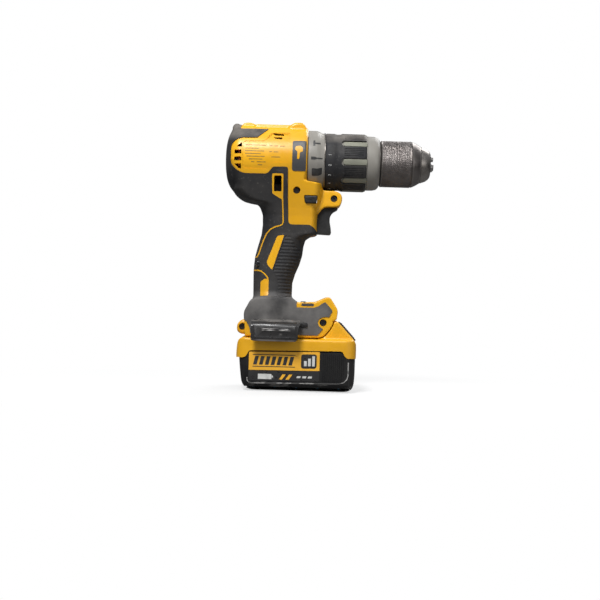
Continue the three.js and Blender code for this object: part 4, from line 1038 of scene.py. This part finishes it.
class DRILL_OT_collars(bpy.types.Operator):
    """Turn the mode collar and the clutch collar with its rubber grip"""

    bl_idname = "drill.collars"
    bl_label = "Collars"

    def execute(self, context):
        self.mode_collar()
        self.clutch_collar()
        self.dial_numbers()
        return {"FINISHED"}

    def mode_collar(self):
        profile = [
            (4.6, 24), (19.9, 24), (19.9, 25.4), (19.5, 25.9), (18.6, 26.1), (17.4, 26.2), (15.4, 27.2),
            (13.2, 28.1), (12.2, 28.3), (5.2, 28.3), (4.6, 27.8),
        ]
        collar = lathe("mode_ring", profile, 120, closed=True)
        outside = [
            (4.2, 0), (4.6, 27.8), (5.2, 28.3), (12.2, 28.3), (13.2, 28.1), (15.4, 27.2), (17.4, 26.2),
            (19.9, 25.4), (20, 0),
        ]
        form = lathe("mode_form", outside, 120)
        for number, shape in enumerate(MODE_SYMBOLS):
            icon = skin(f"mode_icon_{number}", form, slab("icon_area", shape, -60, -5), 0.02, 0.12)
            finish(icon, "mode_collar", "print_black", "control_plastic")
        remove(form)
        # a thin bright steel ring along the collar's front edge stands for the edge's highlight: a painted
        # highlight
        rim = lathe("mode_rim", [(19.3, 25.8), (20.1, 25.8), (20.1, 26.6), (19.3, 26.6)], 120, closed=True)
        finish(rim, "mode_collar", "nose_steel", "collar_grey")
        bevelled(collar, 0.2, 2, 50)
        finish(collar, "mode_collar", "collar_plastic", "collar_grey", "mode_collar")

    def clutch_collar(self):
        inner = [(20.4, 21.2), (58, 21.2), (58, 13.5), (69.6, 13.5)]
        outer = [
            (69.9, 14.2), (69.9, 20.6), (69.3, 21.9), (68.2, 23.2), (66.8, 24.0), (64.4, 24.5),
            (58.6, 24.7), (58.2, 24.3), (57.7, 24.3), (57.4, 24.7), (56, 24.7), (20.4, 24.7),
        ]
        collar = lathe("clutch_ring", inner + outer, 120, closed=True)
        stadium = [(36.2, -2.6, 2.5), (57.9, -2.6), (57.9, 2.6), (36.2, 2.6, 2.5)]
        first = upright("clutch_inlay_1", stadium, AXIS + 23.9, AXIS + 25.6, 8)
        bevelled(first, 0.5, 3)
        turn_about_axis(first, math.radians(15))
        for inlay in around_axis(first, 9, "clutch_inlay"):
            finish(inlay, "clutch_collar", "inlay_plastic", "collar_grey")
        finish(collar, "clutch_collar", "collar_plastic", "collar_grey", "clutch_collar")

        profile = [
            (20.4, 24.8), (57.3, 24.8), (57.3, 25.4), (56.6, 26.0), (55.4, 26.3), (35.6, 26.3),
            (34.4, 25.9), (33.4, 25.6), (30.4, 25.6), (29.4, 25.9), (28.6, 26.2), (21.2, 26.2), (20.4, 25.6),
        ]
        grip = lathe("clutch_rubber", profile, 180, closed=True)
        opening = [(34.8, -3.5, 3.4), (60, -3.5), (60, 3.5), (34.8, 3.5, 3.4)]
        tools = [upright("opening", opening, AXIS + 23, AXIS + 30, 8)]
        section = [(37.5, AXIS + 25.85, 0.2), (55, AXIS + 25.85), (55, AXIS + 28), (37.5, AXIS + 28)]
        for number in (-2, -1, 0, 1, 2):
            groove = slab("groove", section, -0.3, 0.3)
            turn_about_axis(groove, math.radians(20 + 3.7 * number))
            tools.append(groove)
        for tool in tools:
            turn_about_axis(tool, math.radians(15))
        for tool in tools[:]:
            tools += around_axis(tool, 9, "way")[1:]
        cut(grip, *tools)
        bevelled(grip, 0.22, 2, 50)
        finish(grip, "clutch_collar", "grip_rubber", "overmould_rubber", "clutch_grip")

    def dial_numbers(self):
        """Torque numbers round the rear band of the clutch collar."""
        digits = []
        for number in range(1, 16):
            turn = math.radians(20.0 * number + 62)
            deselect()
            bpy.ops.object.text_add()
            text = bpy.context.object
            text.data.body = str(number)
            text.data.size = 3.6 * MM
            text.data.extrude = 0.06 * MM
            text.data.align_x = "CENTER"
            text.data.align_y = "CENTER"
            text.data.resolution_u = 4
            bpy.ops.object.convert(target="MESH")
            digit = bpy.context.object
            on_band = Matrix.Translation((24.6 * MM, 0, 26.26 * MM))
            digit.data.transform(on_band @ Matrix.Rotation(math.pi / 2, 4, "Z"))
            digit.data.transform(Matrix.Translation((0, 0, AXIS * MM)) @ Matrix.Rotation(turn, 4, "X"))
            digits.append(digit)
        digits = joined(digits)
        digits.name = "clutch_numbers"
        finish(digits, "clutch_collar", "print_white", "collar_grey", smooth=0)


JAW_X = 113.8
JAW_RADIUS = 3.2
JAW_TILT = math.radians(15)
JAW_CENTRE = 1.88 * JAW_RADIUS


def jaw_bar(name, x0, x1, radius, sides=40):
    """A round bar along the line that the upper jaw slides on."""
    deselect()
    bpy.ops.mesh.primitive_cylinder_add(
        vertices=sides, radius=radius * MM, depth=(x1 - x0) * MM, rotation=(0, math.pi / 2, 0),
        location=((x0 + x1) / 2 * MM - JAW_X * MM, 0, 0),
    )
    bar = bpy.context.object
    bar.name = name
    bpy.ops.object.transform_apply(location=True, rotation=True, scale=True)
    place = Matrix.Translation((JAW_X * MM, 0, (AXIS + JAW_CENTRE) * MM))
    bar.data.transform(place @ Matrix.Rotation(JAW_TILT, 4, "Y"))
    return bar


class DRILL_OT_chuck(bpy.types.Operator):
    """Turn and knurl the chuck and fit its three jaws"""

    bl_idname = "drill.chuck"
    bl_label = "Chuck"

    def execute(self, context):
        self.sleeve(context.scene.drill_sizes.knurl_starts)
        self.body()
        self.jaws()
        return {"FINISHED"}

    def sleeve(self, starts):
        knurl = [(72.4 + 0.32 * step, 21.1) for step in range(80)]
        profile = [(70.8, 16.8), (70.8, 20.6), (71.3, 21.1)] + knurl
        profile += [
            (98.1, 21.1), (98.5, 20.5), (99.0, 20.5), (99.3, 20.9), (101.4, 20.1), (103.6, 19.0),
            (105.6, 17.8), (106.8, 17.0), (106.8, 16.8), (99.4, 16.8), (99.4, 20), (73, 20), (73, 16.8),
        ]
        piece = lathe("chuck_grip", profile, 4 * starts, closed=True)
        for point in piece.data.vertices:
            x = point.co.x / MM
            y, z = point.co.y, point.co.z - AXIS * MM
            radius = math.hypot(y, z) / MM
            if not (72.3 < x < 97.8 and radius > 20.6):
                continue
            turn = math.atan2(z, y) * starts
            along = 2 * math.pi * x / 1.64
            height = abs(math.cos((turn + along) / 2)) * abs(math.cos((turn - along) / 2))
            scale = (radius - 0.38 * (1 - height)) / radius
            point.co.y = y * scale
            point.co.z = AXIS * MM + z * scale
        finish(piece, "chuck_sleeve", "chuck_steel", "chuck_steel", "chuck_sleeve", smooth=30)

    def body(self):
        profile = [
            (71.4, 0), (71.4, 16.4), (90, 16.4), (90, 14.2), (99, 14.2), (99, 16.4), (106.9, 16.4),
            (107.2, 16.7), (108.4, 16.5), (111.2, 15.5), (113.2, 14.6), (114.8, 13.3), (116.0, 11.7),
            (116.3, 11.0), (116.3, 10.2), (112.6, 10.2), (112.6, 0),
        ]
        body = lathe("chuck_nose", profile, 96)
        hole = lathe("bit_hole", [(88, 0), (88, 6.8), (120, 6.8), (120, 0)], 64)
        spindle_hole = lathe("spindle_hole", [(70, 0), (70, 6.3), (83, 6.3), (83, 0)], 48)
        screw_way = lathe("screw_way", [(80, 0), (80, 3.3), (90, 3.3), (90, 0)], 32)
        jaw_ways = around_axis(jaw_bar("jaw_way", 60, 130, 3.5), 3, "jaw_way")
        cut(body, hole, spindle_hole, screw_way, *jaw_ways)
        bevelled(body, 0.18, 2, 40)
        finish(body, "spindle", "nose_steel", "chuck_steel", "chuck_body")

    def jaws(self):
        opening, flat, reach = 3.2, 0.35, 9
        rise = reach / math.tan(math.pi / 3)
        wedge = [
            (-flat, AXIS + opening), (flat, AXIS + opening), (reach, AXIS + opening + rise),
            (reach, AXIS + 24), (-reach, AXIS + 24), (-reach, AXIS + opening + rise),
        ]
        jaw = jaw_bar("jaw_1", 86, 125, JAW_RADIUS)
        end = [(80, 0), (119.2, 0), (119.2, 7.0), (118.6, 7.8), (114.8, 9.8), (100, 40), (80, 40)]
        tip = lathe("tip_form", end, 96, closed=True)
        combine(jaw, "INTERSECT", slab_x("wedge", wedge, 80, 130), tip)
        bevelled(jaw, 0.2, 2, 40)
        for number, piece in enumerate(around_axis(jaw, 3, "jaw")):
            finish(piece, f"jaw_{number + 1}", "jaw_steel", "jaw_steel", f"chuck_jaw_{number + 1}")


# ---------------------------------------------------------------- battery

TUB = [
    (-52, 36), (-50.4, 20, 6), (-48.4, 6, 5), (-42, 0.6, 4), (-34, 0), (40, 0), (47, 1.2, 4), (51, 6, 5),
    (52, 18, 6), (52, 36),
]
SHELL = [
    (-54, 26), (-54.2, 34, 3), (-53.2, 44, 4), (-50, 47, 2), (50, 47), (52.4, 44, 2), (52.6, 36), (52.4, 26),
]
NOSE = [
    (14, 40), (17.6, 47.6, 3), (22.4, 48.4, 3), (27.4, 53.4, 3), (31.6, 60, 1), (31.8, 63.3),
    (35.4, 63.3, 0.6), (51.4, 46.2, 2), (52.4, 40),
]
TUB_LINE = [
    (-60, -8), (-60, 28.8), (-47, 29.2, 1.5), (-44.6, 31, 1.5), (-42.4, 35.6, 2), (40, 36.8, 2),
    (42.4, 32, 1.5), (45, 30.4, 1), (60, 30.4), (60, -8),
]
SIDE_RECESS = [(-42.8, 45), (-42.8, 8, 3.5), (38, 9, 9), (44.4, 13, 5), (44.8, 28), (42, 45)]
RECESS_RIM = [
    (-43.6, 12.2), (-43.3, 9.4), (-42.2, 7.9), (-40, 7.2), (-1, 7.8), (37.6, 8.3), (41.8, 9.6), (44.6, 12.2),
    (45.6, 16), (45.5, 27.4),
]
LABEL_TOP = [(-42.4, 34.6, 0.6), (20.2, 35.8, 0.6), (20.2, 19.2), (-42.4, 18.6)]
LABEL_BAND = [(-42.4, 18.4), (20.2, 19.0), (20.2, 9.8, 0.6), (-42.4, 9.2, 1)]
CHARGE_BADGE = [(3.8, 33.6, 2.4), (17.6, 33.8, 2.4), (17.6, 21.2, 2.4), (3.8, 21, 2.4)]
CHARGE_BARS = (6.4, 10, 13.6)


class DRILL_OT_battery(bpy.types.Operator):
    """Make the battery's tub, shell, labels and release button"""

    bl_idname = "drill.battery"
    bl_label = "Battery"

    def execute(self, context):
        tub = bevelled(slab("pack_tub", TUB, -37.2, 37.2, 6), 2, 3, 30)
        front = [(-37.2, 60)] + [
            (-37.2 + 18 * (1 - math.cos(turn)), 9 * (1 - math.sin(turn)))
            for turn in (math.pi / 2 * step / 8 for step in range(9))
        ]
        front += [(-y, z) for y, z in reversed(front)]
        combine(tub, "INTERSECT", upright("tub_plan", self.plan(-52, 52, 37.2, 12), -5, 60, 8),
                slab_x("tub_front", front, -60, 60))
        shell = bevelled(slab("pack_shell", SHELL, -37.5, 37.5, 6), 5, 5, 30)
        combine(shell, "INTERSECT", upright("shell_plan", self.plan(-54.3, 52.8, 37.6, 12), -5, 60, 8))
        nose = bevelled(slab("pack_nose", NOSE, -30, 30, 6), 4, 4, 30)
        rail_section = [
            (-19, 44), (19, 44), (19, 50.8), (23, 50.8), (23, 54.5), (-23, 54.5), (-23, 50.8), (-19, 50.8),
        ]
        rail = slab_x("pack_rail", rail_section, -35.4, 24)
        form = joined([shell, nose])
        modify(form, "REMESH", mode="VOXEL", voxel_size=0.0008)
        modify(form, "SMOOTH", factor=0.5, iterations=4)
        combine(form, "UNION", rail)
        line = slab("tub_line", TUB_LINE, -60, 60, 6)
        lower = duplicate(line, "shell_line")
        lower.data.transform(Matrix.Translation((0, 0, 0.3 * MM)))
        inside_box = block("pack_inside", -48.8, 49.6, -34.5, 34.5, 10, 44.5)
        nose_section = [(22, 30), (22, 46), (32, 55), (40, 46), (46, 44), (46, 30)]
        nose_hollow = slab("nose_hollow", nose_section, -26, 26)
        slots = [block(f"blade_slot_{y}", -37, -21, y - 1, y + 1, 50.6, 60) for y in (-9, -3, 3, 9)]
        well = self.on_slope("button_well", 2, 24.2, 19.5, -4.4, 6)
        cut(form, inside_box, lower, nose_hollow, well, *slots)
        form.name = "pack_shell"
        finish(form, "battery", "battery_plastic", "battery_shell_yellow", "battery_shell")

        recess = slab("side_recess", SIDE_RECESS, -60, -36.7, 8)
        cut(tub, recess, mirrored(recess, "side_recess_left"))
        label_form = duplicate(tub, "label_form")
        # the raised rim pieces carry the painted highlight along the recess's lower edge
        lip = skin("tub_rim_right", label_form, band("rim", RECESS_RIM, 0.9, -60, -20), 0.02, 0.3)
        finish(mirrored(lip, "tub_rim_left"), "battery", "rim_painted_highlight", "battery_tub_black")
        finish(lip, "battery", "rim_painted_highlight", "battery_tub_black")
        combine(tub, "INTERSECT", line)
        cut(tub, block("tub_inside", -47.4, 48, -34, 34, 2.5, 60))
        ribs = []
        for number in range(11):
            x = 22.4 + 1.8 * number
            top = 34.4 - 0.5 * max(0, number - 8)
            ribs.append(block(f"tub_rib_{number}", x, x + 0.8, -37.5, -36.3, 10.4, top))
        both = ribs + [mirrored(rib, f"{rib.name}_left") for rib in ribs]
        combine(tub, "UNION", *both)
        finish(tub, "battery", "tub_plastic", "battery_tub_black", "battery_tub")
        self.labels(label_form)
        self.release()
        return {"FINISHED"}

    def plan(self, x0, x1, half_width, corner):
        """A rectangle in plan view with rounded corners."""
        places = [(x0, -half_width), (x1, -half_width), (x1, half_width), (x0, half_width)]
        return [(x, y, corner) for x, y in places]

    def on_slope(self, name, s0, s1, half_width, out0, out1):
        """A block laid on the slope at the front of the pack."""
        piece = block(name, s0, s1, -half_width, half_width, out0, out1)
        turn = math.atan2(63.3 - 45.6, 51.6 - 35.4)
        piece.data.transform(Matrix.Translation((0.0354, 0, 0.0633)) @ Matrix.Rotation(turn, 4, "Y"))
        return piece

    def labels(self, form):
        """A two-tone label on each side, with a charge symbol on a dark badge."""
        parts = [
            ("label_upper", LABEL_TOP, 0.05, 0.25, "label_yellow", "battery_shell_yellow"),
            ("label_lower", LABEL_BAND, 0.05, 0.25, "label_dark", "battery_tub_black"),
            ("label_badge", CHARGE_BADGE, 0.31, 0.12, "label_dark", "battery_tub_black"),
        ]
        foot = 23.2
        for number, x in enumerate(CHARGE_BARS):
            top = foot + 4.6 + 2.2 * number
            bar = [(x, foot, 0.3), (x + 2.4, foot, 0.3), (x + 2.4, top, 0.3), (x, top, 0.3)]
            parts.append((f"label_bar_{number + 1}", bar, 0.44, 0.08, "print_white", "battery_tub_black"))
        rules = [[(-39, z), (-1.4, z + 0.2), (-1.4, z - 0.5), (-39, z - 0.7)] for z in (32.6, 22.2)]
        hatch = []
        for number in range(7):
            x = -38.6 + 5.2 * number
            hatch.append([(x, 23.4), (x + 3.2, 23.4), (x + 5.0, 31), (x + 1.8, 31)])
        parts.append(("label_hatch", rules + hatch, 0.31, 0.06, "print_black", "battery_tub_black"))
        cell = [
            [(-34, 10.8), (-22, 10.8), (-22, 15.4), (-34, 15.4)],
            [(-21.8, 12.2), (-20.6, 12.2), (-20.6, 14), (-21.8, 14)],
        ]
        dashes = [[(x, 12.4), (x + 3.4, 12.4), (x + 4, 14.2), (x + 0.6, 14.2)] for x in (0, 5, 10)]
        parts.append(("label_cell", cell + dashes, 0.31, 0.06, "print_white", "battery_tub_black"))
        chevrons = [[(x, 10.8), (x + 2.8, 10.8), (x + 6, 15.4), (x + 3.2, 15.4)] for x in (-15.4, -9.6)]
        parts.append(("label_chevrons", chevrons, 0.31, 0.06, "label_yellow", "battery_shell_yellow"))
        for name, outline, lift, thickness, finish_name, slot in parts:
            outlines = outline if isinstance(outline[0][0], tuple) else [outline]
            area = joined([slab("area", points, -60, -20) for points in outlines])
            right = skin(f"{name}_right", form, area, lift, thickness)
            left = mirrored(right, f"{name}_left")
            for piece in (right, left):
                finish(piece, "battery", finish_name, slot)
        remove(form)

    def release(self):
        pad = bevelled(self.on_slope("release_pad", 2.4, 23.8, 19, -0.9, 1.6), 0.7, 3)
        ribs = []
        for place in range(4, 22, 2):
            rib = self.on_slope(f"release_rib_{place}", place, place + 1.2, 15.5, 1, 2.0)
            ribs.append(bevelled(rib, 0.3, 2))
        combine(pad, "UNION", *ribs)
        finish(pad, "battery_release", "black_plastic", "control_plastic", "battery_release")


# ---------------------------------------------------------------- stage

def area_light(name, place, target, size, power, colour=(1, 1, 1)):
    deselect()
    bpy.ops.object.light_add(type="AREA", location=place)
    light = bpy.context.object
    light.name = name
    light.data.shape = "DISK"
    light.data.size = size
    light.data.energy = power
    light.data.color = colour
    light.rotation_euler = (Vector(target) - Vector(place)).to_track_quat("-Z", "Y").to_euler()
    return light


class DRILL_OT_stage(bpy.types.Operator):
    """Set the camera, the soft lights and the pale floor"""

    bl_idname = "drill.stage"
    bl_label = "Stage"

    def execute(self, context):
        distance = context.scene.drill_sizes.camera_distance
        deselect()
        bpy.ops.object.camera_add(
            location=(0.00125, -distance, 0.0815), rotation=(math.pi / 2, math.radians(-1.7), 0),
        )
        camera = bpy.context.object
        camera.data.lens = 65.4 * distance
        camera.data.sensor_width = 36
        camera.data.clip_end = 100
        context.scene.camera = camera
        bpy.ops.mesh.primitive_plane_add(size=1, location=(0, 0, 0))
        floor = bpy.context.object
        floor.name = "floor"
        bpy.ops.transform.resize(value=(60, 60, 1))
        bpy.ops.object.transform_apply(scale=True)
        floor.data.materials.append(self.floor_finish())
        world = context.scene.world or bpy.data.worlds.new("studio")
        context.scene.world = world
        world.use_nodes = True
        self.sky(world.node_tree)
        target = (0.02, 0, 0.14)
        area_light("key_light", (-0.25, -0.75, 1.0), target, 0.35, 15)
        area_light("rim_light", (0.5, 0.6, 0.9), target, 0.6, 5)
        area_light("fill_light", (0.7, -0.9, 0.35), target, 0.7, 1.6)
        context.scene.view_settings.view_transform = "Standard"
        return {"FINISHED"}

    def seen_directly(self, tree, direct, otherwise, output, socket):
        """Shows one shader to the camera and lights the drill with another."""
        path = tree.nodes.new("ShaderNodeLightPath")
        mix = tree.nodes.new("ShaderNodeMixShader")
        tree.links.new(path.outputs["Is Camera Ray"], mix.inputs["Fac"])
        tree.links.new(otherwise, mix.inputs[1])
        tree.links.new(direct, mix.inputs[2])
        tree.links.new(mix.outputs["Shader"], output.inputs[socket])

    def sky(self, tree):
        white = tree.nodes["Background"]
        white.inputs["Color"].default_value = (1, 1, 1, 1)
        white.inputs["Strength"].default_value = 1.0
        soft = tree.nodes.new("ShaderNodeBackground")
        soft.inputs["Color"].default_value = (0.94, 0.97, 1, 1)
        height = tree.nodes.new("ShaderNodeSeparateXYZ")
        tree.links.new(tree.nodes.new("ShaderNodeTexCoord").outputs["Generated"], height.inputs[0])
        overhead = tree.nodes.new("ShaderNodeMapRange")
        overhead.inputs["From Min"].default_value = 0.0
        overhead.inputs["To Min"].default_value = 0.16
        overhead.inputs["To Max"].default_value = 0.62
        tree.links.new(height.outputs["Z"], overhead.inputs["Value"])
        tree.links.new(overhead.outputs["Result"], soft.inputs["Strength"])
        self.seen_directly(tree, white.outputs[0], soft.outputs[0], tree.nodes["World Output"], "Surface")

    def floor_finish(self):
        """A pale floor that keeps the drill's soft shadow and fades to white further off."""
        look = Finish("pale_floor", (0.80, 0.80, 0.80), 0.8)
        look.tint(look.spread(look.noise(3.0, 2.0), 0.4, 0.6), (0.78, 0.78, 0.78))
        material = look.build()
        tree = material.node_tree
        glow = tree.nodes.new("ShaderNodeEmission")
        length = tree.nodes.new("ShaderNodeVectorMath")
        length.operation = "LENGTH"
        tree.links.new(look.coordinates, length.inputs[0])
        fade = look.spread(length.outputs["Value"], 0.06, 0.30, 0.62, 1.0)
        mix = tree.nodes.new("ShaderNodeMixShader")
        tree.links.new(fade, mix.inputs["Fac"])
        tree.links.new(look.shader.outputs[0], mix.inputs[1])
        tree.links.new(glow.outputs[0], mix.inputs[2])
        dim = tree.nodes.new("ShaderNodeBsdfDiffuse")
        dim.inputs["Color"].default_value = (0.18, 0.18, 0.18, 1)
        self.seen_directly(tree, mix.outputs[0], dim.outputs[0], tree.nodes["Material Output"], "Surface")
        return material


class DRILL_PT_panel(bpy.types.Panel):
    """Builds the drill from the sidebar"""

    bl_label = "Cordless drill"
    bl_idname = "DRILL_PT_panel"
    bl_space_type = "VIEW_3D"
    bl_region_type = "UI"
    bl_category = "Drill"

    def draw(self, context):
        for group in (context.scene.drill_colours, context.scene.drill_sizes):
            box = self.layout.box()
            for name in group.__annotations__:
                box.prop(group, name)
        for operator in OPERATORS:
            self.layout.operator(operator.bl_idname)


OPERATORS = (
    DRILL_OT_stage, DRILL_OT_materials, DRILL_OT_housing, DRILL_OT_screws, DRILL_OT_controls,
    DRILL_OT_belt_hook, DRILL_OT_collars, DRILL_OT_chuck, DRILL_OT_battery,
)
CLASSES = (DrillColours, DrillSizes) + OPERATORS + (DRILL_PT_panel,)


def register():
    for cls in CLASSES:
        bpy.utils.register_class(cls)
    bpy.types.Scene.drill_colours = bpy.props.PointerProperty(type=DrillColours)
    bpy.types.Scene.drill_sizes = bpy.props.PointerProperty(type=DrillSizes)


def unregister():
    del bpy.types.Scene.drill_sizes
    del bpy.types.Scene.drill_colours
    for cls in reversed(CLASSES):
        bpy.utils.unregister_class(cls)


def main():
    register()
    bpy.ops.drill.stage()
    bpy.ops.drill.materials()
    bpy.ops.drill.housing()
    bpy.ops.drill.screws()
    bpy.ops.drill.controls()
    bpy.ops.drill.belt_hook()
    bpy.ops.drill.collars()
    bpy.ops.drill.chuck()
    bpy.ops.drill.battery()


if __name__ == "__main__":
    main()
